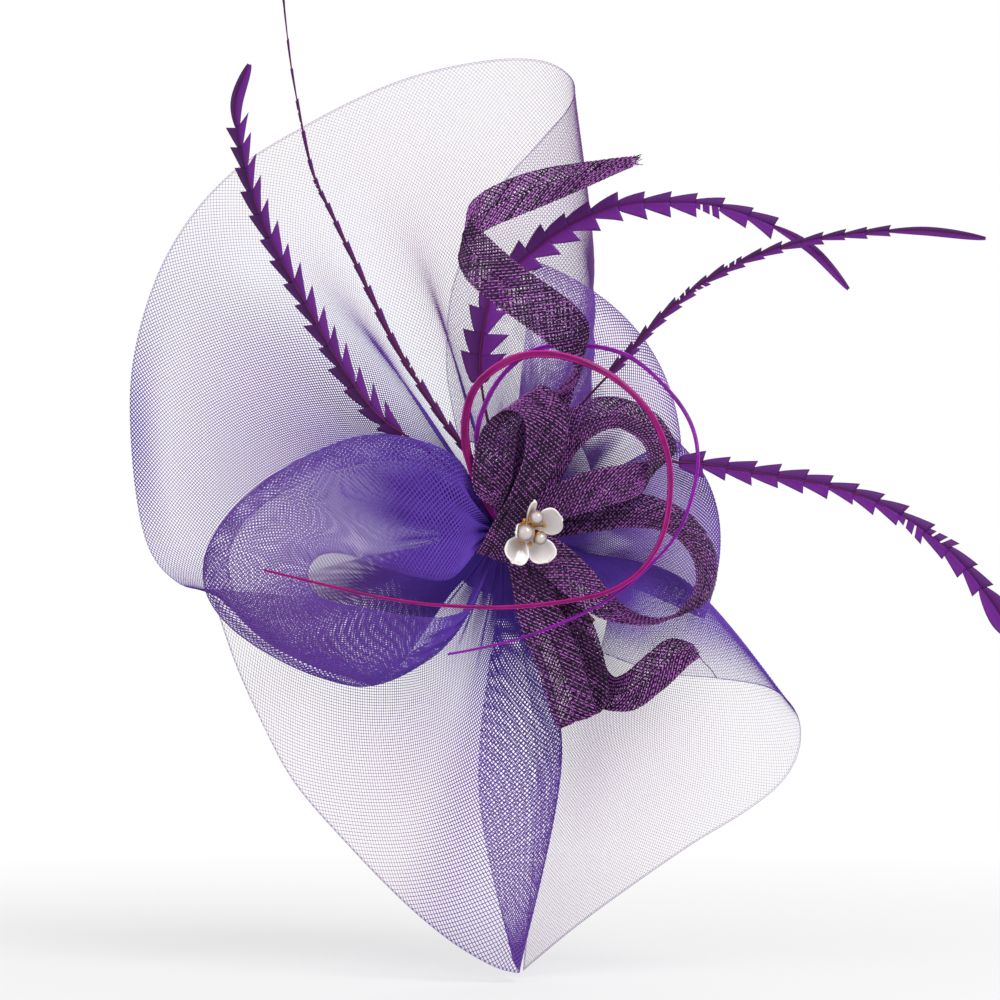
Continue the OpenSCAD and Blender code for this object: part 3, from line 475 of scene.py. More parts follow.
def spline(points, u):
    """Smooth curve through points, or through whole ribs, at places u from 0 to their last index."""
    p = np.asarray(points, float)
    last = len(p) - 1
    u = np.asarray(u, float)
    i = np.clip(np.floor(u).astype(int), 0, last - 1)
    f = (u - i).reshape((-1,) + (1,) * (p.ndim - 1))
    return through(p[np.maximum(i - 1, 0)], p[i], p[i + 1], p[np.minimum(i + 2, last)], f)


def even_line(points, step):
    """Points of a smooth path in millimetres, spaced evenly, in metres."""
    fine = spline(points, np.linspace(0, len(points) - 1, 40 * len(points))) * MM
    run = np.concatenate([[0], np.cumsum(np.linalg.norm(np.diff(fine, axis=0), axis=1))])
    count = max(3, int(run[-1] / step) + 1)
    at = np.linspace(0, run[-1], count)
    return np.stack([np.interp(at, run, fine[:, k]) for k in range(3)], 1), at


class RibSheet:
    """Smooth sheet over ribs. Flat places run from 0 to 1 along its length and across its width."""

    CELLS = 80

    def __init__(self, ribs, pleat=None, folds=()):
        self.ribs = np.asarray(ribs, float) * MM
        self.pleat = pleat
        self.folds = folds
        self.even = np.linspace(0, 1, self.CELLS + 1)
        u, v = np.meshgrid(self.even, self.even, indexing="ij")
        p = self.raw(u.ravel(), v.ravel()).reshape(self.CELLS + 1, self.CELLS + 1, 3)
        along = np.linalg.norm(np.diff(p, axis=0), axis=2)
        across = np.linalg.norm(np.diff(p, axis=1), axis=2)
        self.length = float(along.sum(0).max())
        self.width = float(np.percentile(across.sum(1), 75))
        most = along.max(axis=1)
        self.u_share = np.concatenate([[0], np.cumsum(most)]) / most.sum()
        mean = across.mean(0)
        self.v_share = np.concatenate([[0], np.cumsum(mean)]) / mean.sum()
        a, b = p[1:, :-1] - p[:-1, :-1], p[:-1, 1:] - p[:-1, :-1]
        self.area = float(np.linalg.norm(np.cross(a, b), axis=2).sum())

    def raw(self, u, v):
        r = spline(self.ribs, u * (len(self.ribs) - 1))
        k = self.ribs.shape[1]
        t = v[:, None]
        if k == 3:
            return (1 - t) * (1 - 2 * t) * r[:, 0] + 4 * t * (1 - t) * r[:, 1] + t * (2 * t - 1) * r[:, 2]
        w = v * (k - 1)
        i = np.clip(np.floor(w).astype(int), 0, k - 2)
        f = (w - i)[:, None]
        row = np.arange(len(v))
        return through(r[row, np.maximum(i - 1, 0)], r[row, i], r[row, i + 1], r[row, np.minimum(i + 2, k - 1)], f)

    def at(self, s, t):
        """Points and normals at flat places."""
        s, t = np.clip(s, 0, 1), np.clip(t, 0, 1)
        u, v = np.interp(s, self.u_share, self.even), np.interp(t, self.v_share, self.even)
        lift = self.pleat(s, t) if self.pleat else np.zeros_like(u)
        for middle, width, pull, high, near, far in self.folds:
            x = (u - middle) / width
            hold = ease(t / 0.1) * ease((far - t) / (far - near))
            fold = x * np.exp(-x * x) * hold
            u = np.clip(u - pull * width * fold, 0, 1)
            lift = lift + high * MM * fold
        h = 0.002
        du = self.raw(np.minimum(u + h, 1), v) - self.raw(np.maximum(u - h, 0), v)
        dv = self.raw(u, np.minimum(v + h, 1)) - self.raw(u, np.maximum(v - h, 0))
        n = unit(np.cross(du, dv))
        return self.raw(u, v) + n * lift[:, None], n


FLAT_SECTION = np.array([(1, 1), (-1, 1), (-1, -1), (1, -1)], float)
THREE_SIDED = np.array([(0, 1), (-1, -0.8), (1, -0.8)], float)


def round_section(sides, groove=0.0):
    """Section of a rod, with a groove along one side."""
    a = np.arange(sides) * 2 * math.pi / sides + math.pi / sides
    r = 1 - groove * np.exp(-((np.mod(a - 1.5 * math.pi + math.pi, 2 * math.pi) - math.pi) ** 2) / 0.2)
    return np.stack([r * np.cos(a), r * np.sin(a)], 1)


class Threads:
    """Many threads or rods, each a closed tube, gathered into one mesh."""

    def __init__(self, section=FLAT_SECTION):
        self.section = section
        self.points, self.normals, self.counts = [], [], []
        self.sizes, self.marks, self.flats = [], [], []

    def add(self, points, normals, width, depth, tone=0.5, reach=0.5, flat=None):
        """One thread. tone and reach are marks that its material reads; flat is its place on the bake map."""
        n = len(points)
        self.points.append(points)
        self.normals.append(np.broadcast_to(normals, (n, 3)))
        self.counts.append(n)
        self.sizes.append(np.stack([np.broadcast_to(width, n), np.broadcast_to(depth, n)], 1) / 2)
        self.marks.append(np.stack([np.broadcast_to(tone, n), np.broadcast_to(reach, n)], 1))
        self.flats.append(np.stack([np.linspace(0, 1, n), np.full(n, 0.5)], 1) if flat is None else flat)

    def mesh(self, name):
        points, normals = np.concatenate(self.points), np.concatenate(self.normals)
        sizes, marks, flats = (np.concatenate(x) for x in (self.sizes, self.marks, self.flats))
        counts = np.array(self.counts)
        total, k = len(points), len(self.section)
        first = np.concatenate([[0], np.cumsum(counts)[:-1]])
        last = first + counts - 1
        ahead, behind = np.arange(total) + 1, np.arange(total) - 1
        ahead[last], behind[first] = last, first
        run = unit(points[ahead] - points[behind])
        side = unit(np.cross(run, normals))
        up = np.cross(side, run)
        across, high = self.section[:, 0], self.section[:, 1]
        ring = (
            points[:, None]
            + side[:, None] * (across[None] * sizes[:, :1])[..., None]
            + up[:, None] * (high[None] * sizes[:, 1:])[..., None]
        )
        i = np.setdiff1d(np.arange(total), last) * k
        around = np.arange(k)
        nxt = (around + 1) % k
        walls = np.stack(
            [i[:, None] + around, i[:, None] + k + around, i[:, None] + k + nxt, i[:, None] + nxt], 2
        ).reshape(-1, 4)
        caps = np.concatenate([first[:, None] * k + around, last[:, None] * k + around[::-1]])
        me = bpy.data.meshes.new(name)
        me.from_pydata(ring.reshape(-1, 3).tolist(), [], walls.tolist() + caps.tolist())
        me.polygons.foreach_set("use_smooth", np.ones(len(me.polygons), bool))
        for which, label in enumerate(("tone", "reach")):
            mark = me.attributes.new(label, "FLOAT", "POINT")
            mark.data.foreach_set("value", np.repeat(marks[:, which], k).astype(np.float32))
        spread = np.repeat(flats, k, axis=0) + 0.0006 * np.tile(self.section, (total, 1))
        corner = np.empty(len(me.loops), np.int32)
        me.loops.foreach_get("vertex_index", corner)
        layer = me.uv_layers.new(name="OFBake")
        layer.data.foreach_set("uv", np.clip(spread, 0, 1)[corner].astype(np.float32).ravel())
        return me


def rod(bm, line, radius, sides=12, face=(0, -1, 0), flat=1.0, groove=0.0, tone=0.5):
    """Bridges rings of vertices along a line into a closed rod. radius and tone may change along it."""
    n = len(line)
    radius, tone = np.broadcast_to(radius, n), np.broadcast_to(tone, n)
    run = unit(np.gradient(np.asarray(line, float), axis=0))
    side = unit(np.cross(run, np.asarray(face, float)))
    up = np.cross(side, run)
    mark = bm.verts.layers.float.get("tone") or bm.verts.layers.float.new("tone")
    place = bm.loops.layers.uv.get("OFBake") or bm.loops.layers.uv.new("OFBake")
    section = round_section(sides, groove)
    spots, last = {}, None
    for i in range(n):
        ring = bmesh.ops.create_circle(bm, cap_ends=False, segments=sides, radius=1)["verts"]
        for k, v in enumerate(ring):
            a, b = section[k] * radius[i]
            v.co = Vector(line[i] + side[i] * a + up[i] * b * flat)
            v[mark] = tone[i]
            spots[v] = (i / (n - 1), k / sides)
        edges = list(dict.fromkeys(e for v in ring for e in v.link_edges))
        if last:
            walls = bmesh.ops.bridge_loops(bm, edges=last + edges)["faces"]
            for face_ in walls:
                corners = [spots[c.vert] for c in face_.loops]
                seam = max(c[1] for c in corners) > 0.6
                for c, (a, b) in zip(face_.loops, corners):
                    c[place].uv = (a, b + 1 if seam and b < 0.4 else b)
        if i in (0, n - 1):
            bmesh.ops.edgeloop_fill(bm, edges=edges)
        last = edges


def piece(name, mesh, material, replaces=(), body=HEADPIECE):
    """Puts a finished mesh in the scene as a piece that rides on a body."""
    obj = bpy.data.objects.new(name, mesh)
    bpy.context.scene.collection.objects.link(obj)
    for m in material if isinstance(material, (list, tuple)) else (material,):
        mesh.materials.append(m)
    if body:
        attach(obj, body)
    if replaces:
        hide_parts(*replaces)
    return obj


def mesh_of(bm, name, outward=True):
    """Smooth-shaded mesh of a bmesh, with its faces turned outward unless they already lie right."""
    if outward:
        bmesh.ops.recalc_face_normals(bm, faces=bm.faces)
    me = bpy.data.meshes.new(name)
    bm.to_mesh(me)
    bm.free()
    me.polygons.foreach_set("use_smooth", np.ones(len(me.polygons), bool))
    return me


def thicken(obj, thickness):
    solid = obj.modifiers.new("thickness", "SOLIDIFY")
    solid.thickness, solid.offset = thickness, 0


def dress(name, material):
    """Gives a node that shows as the pack made it its material."""
    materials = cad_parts[name].data.materials
    materials.clear()
    materials.append(material)


def turned(bm, points, axis, steps):
    """Spins a profile once round an axis through the origin."""
    ring = [bm.verts.new(p) for p in points]
    edges = [bm.edges.new(pair) for pair in zip(ring, ring[1:])]
    bmesh.ops.spin(bm, geom=ring + edges, cent=(0, 0, 0), axis=axis, angle=2 * math.pi, steps=steps, use_merge=True)


# Materials

class Nodes:
    """A material's or a group's node tree, with short ways to add to it."""

    def __init__(self, tree):
        self.tree = tree
        tree.nodes.clear()

    def put(self, socket, value):
        """Links another node's socket, or sets a plain value; a colour may leave out its alpha."""
        if isinstance(value, bpy.types.NodeSocket):
            self.tree.links.new(value, socket)
        elif socket.type == "RGBA" and len(value) == 3:
            socket.default_value = (*value, 1)
        else:
            socket.default_value = value

    def add(self, kind, values=None, **settings):
        node = self.tree.nodes.new(kind)
        for key, value in settings.items():
            setattr(node, key, value)
        for key, value in (values or {}).items():
            self.put(node.inputs[key], value)
        return node

    def mix(self, share, a, b):
        return self.add("ShaderNodeMix", {0: share, 6: a, 7: b}, data_type="RGBA").outputs[2]

    def math(self, operation, a, b=0.0, clamp=False):
        return self.add("ShaderNodeMath", {0: a, 1: b}, operation=operation, use_clamp=clamp).outputs[0]

    def ramp(self, value, stops):
        node = self.tree.nodes.new("ShaderNodeValToRGB")
        self.tree.links.new(value, node.inputs[0])
        ends = node.color_ramp.elements
        while len(ends) < len(stops):
            ends.new(0.5)
        for end, (place, colour) in zip(ends, stops):
            end.position = place
            end.color = (*colour, 1) if isinstance(colour, tuple) else (colour, colour, colour, 1)
        return node.outputs[0]

    def noise(self, vector, scale, detail=2.0, rough=0.5):
        values = {"Vector": vector, "Scale": scale, "Detail": detail, "Roughness": rough}
        return self.add("ShaderNodeTexNoise", values).outputs[0]

    def place(self):
        return self.add("ShaderNodeTexCoord").outputs["Object"]

    def unwrapped(self):
        return self.add("ShaderNodeUVMap", uv_map="OFBake").outputs[0]

    def seen_directly(self):
        """1 for what the camera sees itself, in a reflection or through a piece."""
        seen = self.add("ShaderNodeLightPath").outputs
        mirrored = self.math("MAXIMUM", seen["Is Camera Ray"], seen["Is Glossy Ray"])
        return self.math("MAXIMUM", mirrored, seen["Is Transmission Ray"])

    def mark(self, label):
        return self.add("ShaderNodeAttribute", attribute_name=label).outputs["Fac"]

    def bump(self, height, strength, distance):
        return self.add("ShaderNodeBump", {"Height": height, "Strength": strength, "Distance": distance}).outputs[0]


def finish(name, look, *values, **surface):
    """A material with one Principled shader. look returns its linked sockets; surface sets its plain ones."""
    material = bpy.data.materials.new(name)
    material.use_nodes = True
    nodes = Nodes(material.node_tree)
    shader = nodes.add("ShaderNodeBsdfPrincipled")
    for key, value in surface.items():
        shader.inputs[key.replace("_", " ")].default_value = value
    for key, socket in look(nodes, *values).items():
        nodes.tree.links.new(socket, shader.inputs[key])
    out = nodes.add("ShaderNodeOutputMaterial")
    nodes.tree.links.new(shader.outputs[0], out.inputs[0])
    return material


def group(name, inputs, outputs, build):
    """A shared effect as a node group. inputs and outputs are (name, socket type) pairs."""
    tree = bpy.data.node_groups.new(name, "ShaderNodeTree")
    for label, kind in inputs:
        tree.interface.new_socket(label, in_out="INPUT", socket_type=kind)
    for label, kind in outputs:
        tree.interface.new_socket(label, in_out="OUTPUT", socket_type=kind)
    nodes = Nodes(tree)
    given = nodes.add("NodeGroupInput")
    made = nodes.add("NodeGroupOutput")
    for label, socket in build(nodes, given.outputs).items():
        tree.links.new(socket, made.inputs[label])
    return tree


def times(colour, share):
    """A colour made darker or lighter."""
    return tuple(min(1, x * share) for x in colour)


FLOAT, COLOUR, VECTOR = "NodeSocketFloat", "NodeSocketColor", "NodeSocketVector"


def dye_and_glint_group():
    """Colour of fibres between a shade colour and a glint colour, picked by a tone for each fibre and cloudy noise:
    two dye tones for the net and the thread, painted shade and painted glints for the sinamay.
    """

    def build(n, given):
        cloud = n.noise(n.place(), given["Cloud Scale"], 3.0)
        fleck = n.noise(n.place(), given["Fleck Scale"], 1.0)
        share = n.math("ADD", n.math("MULTIPLY", cloud, 0.5), n.math("MULTIPLY", fleck, 0.5))
        share = n.math("ADD", share, n.math("MULTIPLY", n.math("SUBTRACT", given["Tone"], 0.5), 0.9))
        mask = n.math("MULTIPLY", n.math("SUBTRACT", share, given["Threshold"]), given["Contrast"], clamp=True)
        return {"Color": n.mix(mask, given["Shade"], given["Glint"]), "Mask": mask}

    return group(
        "Dyed fibre",
        [("Shade", COLOUR), ("Glint", COLOUR), ("Tone", FLOAT), ("Cloud Scale", FLOAT), ("Fleck Scale", FLOAT),
         ("Threshold", FLOAT), ("Contrast", FLOAT)],
        [("Color", COLOUR), ("Mask", FLOAT)],
        build,
    )


def streak_group():
    """Fine streaks that run along a path: the bake map's first coordinate runs along, the second across."""

    def build(n, given):
        spread = n.add("ShaderNodeVectorMath", {0: given["Place"], 1: given["Stretch"]}, operation="MULTIPLY")
        return {"Streak": n.noise(spread.outputs[0], 1.0, 3.0, 0.6)}

    return group("Fine streaks", [("Place", VECTOR), ("Stretch", VECTOR)], [("Streak", FLOAT)], build)


class Finishes:
    """Every material of the headpiece, made once."""

    def __init__(self):
        self.fibre = dye_and_glint_group()
        self.streak = streak_group()
        s = settings()
        f = s.finding
        soft = {"Roughness": 0.45, "Specular_IOR_Level": 0.12}
        self.net = finish("crinoline_nylon", self.net_look, s.net.gathered, s.net.open, **soft)
        self.under_net = finish("crinoline_nylon_under", self.net_look, s.net.under, s.net.open, **soft)
        self.sinamay = finish("sinamay_fibre", self.sinamay_look, s.sinamay, Roughness=0.4, Specular_IOR_Level=0.2)
        self.vane = finish("feather_vane", self.vane_look, s.feather, Roughness=0.5, Specular_IOR_Level=0.12)
        self.spine = finish("feather_shaft", self.streaky, s.feather.spine, (40, 6, 1), 0.6, Roughness=0.4,
                            Specular_IOR_Level=0.2)
        quill = {"Roughness": 0.3, "Specular_IOR_Level": 0.1, "Coat_Weight": 0.16, "Coat_Roughness": 0.03}
        self.magenta = finish("quill_magenta", self.quill_look, s.quill.magenta, (24, 7, 1), **quill)
        self.violet = finish("quill_violet", self.quill_look, s.quill.violet, (24, 7, 1), **quill)
        self.maroon = finish("quill_maroon", self.quill_look, s.quill.maroon, (6, 7, 1), Roughness=0.35)
        self.petal = finish("petal_shell", self.petal_look, s.flower, Roughness=0.2, Coat_Weight=0.7,
                            Coat_Roughness=0.06)
        self.pearl = finish("pearl_lustre", self.pearl_look, s.flower, Roughness=0.18, Coat_Weight=1.0,
                            Coat_Roughness=0.04)
        self.gold = finish("gold_plate", self.worn, s.flower.gold, 900, 0.75, Metallic=1.0, Roughness=0.28)
        self.steel = finish("spring_steel", self.worn, f.steel, 400, 0.7, Metallic=1.0, Roughness=0.34)
        self.felt = finish("felt", self.felt_look, f.felt, Roughness=0.95, Sheen_Weight=0.12, Sheen_Roughness=0.6)
        self.binding = finish("bias_binding", self.weave_look, f.binding, 1500, Roughness=0.5, Sheen_Weight=0.3)
        self.buckram = finish("buckram", self.weave_look, f.buckram, 700, Roughness=0.85)
        self.thread = finish("sewing_thread", self.thread_look, f.thread, Roughness=0.5, Sheen_Weight=0.3)

    def fibre_colour(self, n, shade, glint, cloud, fleck, threshold, contrast):
        values = {"Shade": shade, "Glint": glint, "Tone": n.mark("tone"), "Cloud Scale": cloud, "Fleck Scale": fleck,
                  "Threshold": threshold, "Contrast": contrast}
        return {"Base Color": n.add("ShaderNodeGroup", values, node_tree=self.fibre).outputs["Color"]}

    def streaks(self, n, stretch):
        values = {"Place": n.unwrapped(), "Stretch": stretch}
        return n.add("ShaderNodeGroup", values, node_tree=self.streak).outputs["Streak"]

    def net_look(self, n, gathered, single):
        # reach mixes the gathered colour, partly a painted sheen of dense net, with the open colour, partly the
        # painted back-lit look of single threads.
        base = n.mix(n.mark("reach"), gathered, single)
        return self.fibre_colour(n, n.mix(0.3, base, (0.02, 0.01, 0.06)), base, 30, 220, 0.05, 1.6)

    def sinamay_look(self, n, c):
        # The sinamay's shade and glint are painted shade and painted glints.
        return self.fibre_colour(n, c.dark, c.bright, 190, 1300, 0.43, 2.5)

    def thread_look(self, n, colour):
        return self.fibre_colour(n, times(colour, 0.45), colour, 80, 1500, 0.2, 1.8)

    def vane_look(self, n, c):
        streak = self.streaks(n, (420, 3, 1))
        # tone mixes the painted shaded colour of the left vane with the painted lit colour of the right vane.
        body = n.mix(n.mark("tone"), c.dark, c.bright)
        body = n.mix(n.math("MULTIPLY", streak, 0.55), body, (0.03, 0.004, 0.06))
        tip = n.mix(n.math("MULTIPLY", n.mark("reach"), 0.14), body, (0.36, 0.1, 0.5))
        return {"Base Color": tip, "Normal": n.bump(streak, 0.35, 0.0002)}

    def streaked(self, n, colour, stretch, dark):
        """Streaks, their share of full colour, and the colour they give."""
        streak = self.streaks(n, stretch)
        share = n.math("MULTIPLY", n.math("SUBTRACT", streak, 0.32), 2.2, clamp=True)
        return streak, share, n.mix(share, times(colour, dark), colour)

    def streaky(self, n, colour, stretch, dark):
        streak, _, body = self.streaked(n, colour, stretch, dark)
        return {"Base Color": body, "Normal": n.bump(streak, 0.15, 0.0002)}

    def quill_look(self, n, colour, stretch):
        """Streaks with dark joints, a painted highlight along the side that faces the camera and painted shade at the
        edges.
        """
        streak, share, body = self.streaked(n, colour, stretch, 0.35)
        body = n.mix(n.math("MULTIPLY", n.mark("tone"), 0.6), body, times(colour, 0.3))
        # The bake map's second coordinate runs round the quill: line paints highlight bands beside the side that faces
        # the camera, edge paints shade at the quill's sides.
        turn = n.add("ShaderNodeSeparateXYZ", {0: n.unwrapped()}).outputs[1]
        line = n.ramp(turn, [(0.05, 0.0), (0.1, 0.75), (0.15, 0.15), (0.3, 0.0), (0.36, 1.0), (0.42, 0.2)])
        painted_highlight = tuple(min(1, x * 2.8 + 0.012) for x in colour)
        body = n.mix(n.math("MULTIPLY", line, n.math("ADD", share, 0.45, clamp=True)), body, painted_highlight)
        edge = n.ramp(turn, [(0.0, 0.8), (0.06, 0.0), (0.44, 0.0), (0.5, 0.8), (0.56, 0.0), (0.95, 0.0)])
        return {"Base Color": n.mix(edge, body, times(colour, 0.25)), "Normal": n.bump(streak, 0.15, 0.0002)}

    def petal_look(self, n, c):
        vein = self.streaks(n, (2, 38, 1))
        # tone mixes in the painted shade of the petal's hollow.
        body = n.mix(n.math("MULTIPLY", n.mark("tone"), 0.95), c.petal, c.shade)
        body = n.mix(n.math("MULTIPLY", vein, 0.25), body, (0.98, 0.95, 0.96))
        return {"Base Color": body, "Normal": n.bump(vein, 0.12, 0.0003)}

    def pearl_look(self, n, c):
        tint = n.ramp(n.noise(n.place(), 260, 2.0), [(0.35, (0.62, 0.5, 0.48)), (0.65, (0.6, 0.58, 0.55))])
        # rim paints a dark pinkish-brown where the pearl turns away from the camera, a painted reflection of dark
        # surroundings.
        rim = n.add("ShaderNodeLayerWeight", {"Blend": 0.35}).outputs["Facing"]
        body = n.mix(0.6, tint, c.pearl)
        return {"Base Color": n.mix(n.ramp(rim, [(0.1, 0.0), (0.32, 0.8), (0.6, 0.5)]), body, (0.2, 0.13, 0.12))}

    def worn(self, n, colour, scale, dull):
        grain = n.noise(n.place(), scale, 4.0, 0.65)
        rough = n.ramp(grain, [(0.3, 0.22), (0.7, 0.46)])
        return {"Base Color": n.mix(grain, times(colour, dull), colour), "Roughness": rough}

    def felt_look(self, n, colour):
        wool = n.noise(n.place(), 900, 5.0, 0.75)
        patch = n.noise(n.place(), 90, 2.0)
        body = n.mix(wool, times(colour, 0.45), times(colour, 1.5))
        body = n.mix(n.math("MULTIPLY", patch, 0.35), body, times(colour, 0.7))
        return {"Base Color": body, "Normal": n.bump(wool, 0.6, 0.0006)}

    def weave_look(self, n, colour, scale):
        place = n.place()
        values = {"Vector": place, "Scale": scale / 6.28, "Distortion": 0.6, "Detail": 1.0, "Detail Scale": 2.0}
        warp, weft = (
            n.add("ShaderNodeTexWave", values, wave_type="BANDS", bands_direction=axis).outputs[1] for axis in "XZ"
        )
        weave = n.math("MULTIPLY", warp, weft)
        body = n.mix(weave, times(colour, 0.5), times(colour, 1.2))
        body = n.mix(n.math("MULTIPLY", n.noise(place, 120, 3.0), 0.3), body, times(colour, 0.6))
        return {"Base Color": body, "Normal": n.bump(weave, 0.4, 0.0003)}


FINISHES = {}


def looks():
    """The headpiece's materials, made on the first call."""
    if "all" not in FINISHES:
        FINISHES["all"] = Finishes()
    return FINISHES["all"]


# Crinoline

def soft_pleats(count, height, low, high, shift=0.0, keep=None):
    """Gathers that stand out from the core and die away toward the edge."""

    def pleat(s, t):
        wave = np.sin(2 * math.pi * (count * s + shift + 0.35 * np.sin(5.3 * s + 2 * shift)))
        size = height * MM * ease((t - 0.02) / (low - 0.02)) * np.clip((high - t) / (high - low), 0, 1) ** 2
        return size * wave * (1 if keep is None else np.interp(s, *keep))

    return pleat


def drawn_in(count, height, reach, shift=0.0):
    """Gathers across a loop where its ends are drawn together at the core."""

    def pleat(s, t):
        end = np.minimum(s, 1 - s)
        size = height * MM * ease(end / 0.03) * ease((reach - end) / reach)
        return size * np.sin(2 * math.pi * (count * t + shift)) * np.sin(math.pi * np.clip(t, 0, 1)) ** 0.5

    return pleat


def gathers(places, far):
    """Small folds at the core: places along the sheet."""
    return [(u, 0.012, 1.5, 1.6, 0.08, far * (0.8 + 0.4 * math.sin(37 * u) ** 2)) for u in places]


def near_core(t, far=0.9, core=1.4):
    """How closely the threads of a gathered fan lie together: most at the core, least at the outer edge."""
    return 0.9 + 1.0 * (1 - ease((t - 0.45) / (far - 0.4))) + core * (1 - ease((t - 0.05) / 0.35))


def left_brim(s, t):
    """Where the crown's outer edge rolls back on the left."""
    return ease((t - 0.9) / 0.09) * bell(s, 0.77, 0.07)


def crown_folds(s, t):
    """Where the crown lies in its two long folds and at the left roll."""
    long_folds = bell(s, 0.6, 0.035) + bell(s, 0.525, 0.025)
    return np.clip(long_folds * (1 - ease((t - 0.8) / 0.15)) + left_brim(s, t), 0, 1)


# Each net: ribs, pleats, folds, edges with a selvedge, share of the mesh pitch, colour from gathered 0 to open 1,
# thread width from single 1 upward where the threads lie together
# The gathered colour is partly a painted sheen of dense net and the open colour partly the painted back-lit look of
# single threads.
NETS = {
    "crown_fan": (
        CROWN,
        soft_pleats(15, 1.4, 0.3, 0.95, 0.1, ((0, 0.2, 0.8, 1), (0.2, 1, 1, 0.2))),
        gathers((0.3, 0.38, 0.46, 0.68, 0.75, 0.82), 0.3)
        + [(0.6, 0.045, 1.45, 3.5, 0.2, 0.9), (0.525, 0.03, 1.45, 2.5, 0.25, 0.85)],
        ("outer", "start", "end"), 0.76,
        lambda s, t: ease((t - 0.1) / 0.6) * (0.4 + 0.6 * ease((s - 0.2) / 0.15) - 0.6 * ease((s - 0.54) / 0.1))
        * (1 - 0.85 * crown_folds(s, t)),
        lambda s, t: near_core(t, 1.0, 0.7) * (0.85 + 1.0 * ease((s - 0.54) / 0.14)) * (1 - 0.4 * crown_folds(s, t))
        + 3.2 * left_brim(s, t)
        + 2.2 * ease((s - 0.86) / 0.06) * (1 - ease((t - 0.25) / 0.5)),
    ),
    "brow_puff": (
        PUFF, drawn_in(5, 1.6, 0.3), (), ("inner", "outer"), 0.95,
        lambda s, t: 0.05 + 0.3 * ease(np.minimum(s, 1 - s) / 0.5),
        lambda s, t: 2.6 + 3.0 * (1 - ease(np.minimum(s, 1 - s) / 0.24)),
    ),
    "face_veil": (
        VEIL,
        soft_pleats(9, 1.2, 0.3, 0.95, 0.4, ((0, 0.15, 0.7, 1), (0.2, 1, 1, 0.3))),
        gathers((0.16, 0.27, 0.38, 0.47, 0.56), 0.34),
        ("outer", "start", "end"), 0.85,
        lambda s, t: 0.9 * ease((t - 0.1) / 0.8) * (1 - 0.6 * ease((s - 0.55) / 0.15)),
        lambda s, t: near_core(t) + 1.6 * ease((s - 0.55) / 0.15)
        + 1.6 * (1 - ease((s - 0.1) / 0.15)) * (1 - ease((t - 0.2) / 0.5)),
    ),
    "right_fan": (
        RIGHT_FAN,
        soft_pleats(8, 1.0, 0.35, 0.95, 0.7, ((0, 0.2, 0.6, 0.8), (0.3, 1, 1, 0))),
        gathers((0.2, 0.34, 0.46, 0.56), 0.4),
        ("outer", "start", "end"), 0.66, lambda s, t: ease((t - 0.15) / 0.55) * (1 - 0.8 * ease((s - 0.55) / 0.15)),
        lambda s, t: 0.68 * near_core(t) + 1.6 * ease((s - 0.58) / 0.12) * (1 - ease((t - 0.7) / 0.3)),
    ),
    "upper_right_loop": (
        UPPER_LOOP, drawn_in(4, 1.2, 0.35, 0.2), (), ("inner", "outer", "end"), 0.68,
        lambda s, t: 0.1 + 0.45 * ease(s / 0.5), lambda s, t: 1.9 + 2.6 * (1 - ease((s - 0.15) / 0.4)),
    ),
    "right_loop": (
        RIGHT_LOOP, drawn_in(4, 1.2, 0.35, 0.6), (), ("inner", "outer", "end"), 0.68,
        lambda s, t: 0.05 + 0.35 * ease(s / 0.5), lambda s, t: 2.6 + 2.6 * (1 - ease((s - 0.15) / 0.4)),
    ),
}


def bias_lines(length, width, gap):
    """Flat lines at 45 degrees both ways over a rectangle: lean, start and stop across, offset along."""
    lines = []
    for lean in (1, -1):
        first = -width + gap / 2 if lean > 0 else gap / 2
        last = length if lean > 0 else length + width
        for c in np.arange(first, last, gap):
            low, high = (max(0, -c), min(width, length - c)) if lean > 0 else (max(0, c - length), min(width, c))
            if high - low > gap:
                lines.append((lean, low, high, c))
    return lines


def thread_stops(points, step, turn):
    """Places along a finely sampled thread where it needs a point: closer where it bends."""
    move = np.diff(points, axis=0)
    way = unit(move)
    bend = np.arccos(np.clip((way[1:] * way[:-1]).sum(1), -1, 1)) / 2
    load = np.linalg.norm(move, axis=1) / step
    load[1:] += bend / turn
    load[:-1] += bend / turn
    total = np.concatenate([[0], np.cumsum(load)])
    return np.interp(np.linspace(0, total[-1], max(2, math.ceil(total[-1])) + 1), total, np.arange(len(points)))


THREAD_SAMPLES, EDGE_SAMPLES = 121, 401
LARGE_SHEET = 0.05
SELVEDGE_GAP = 0.0007


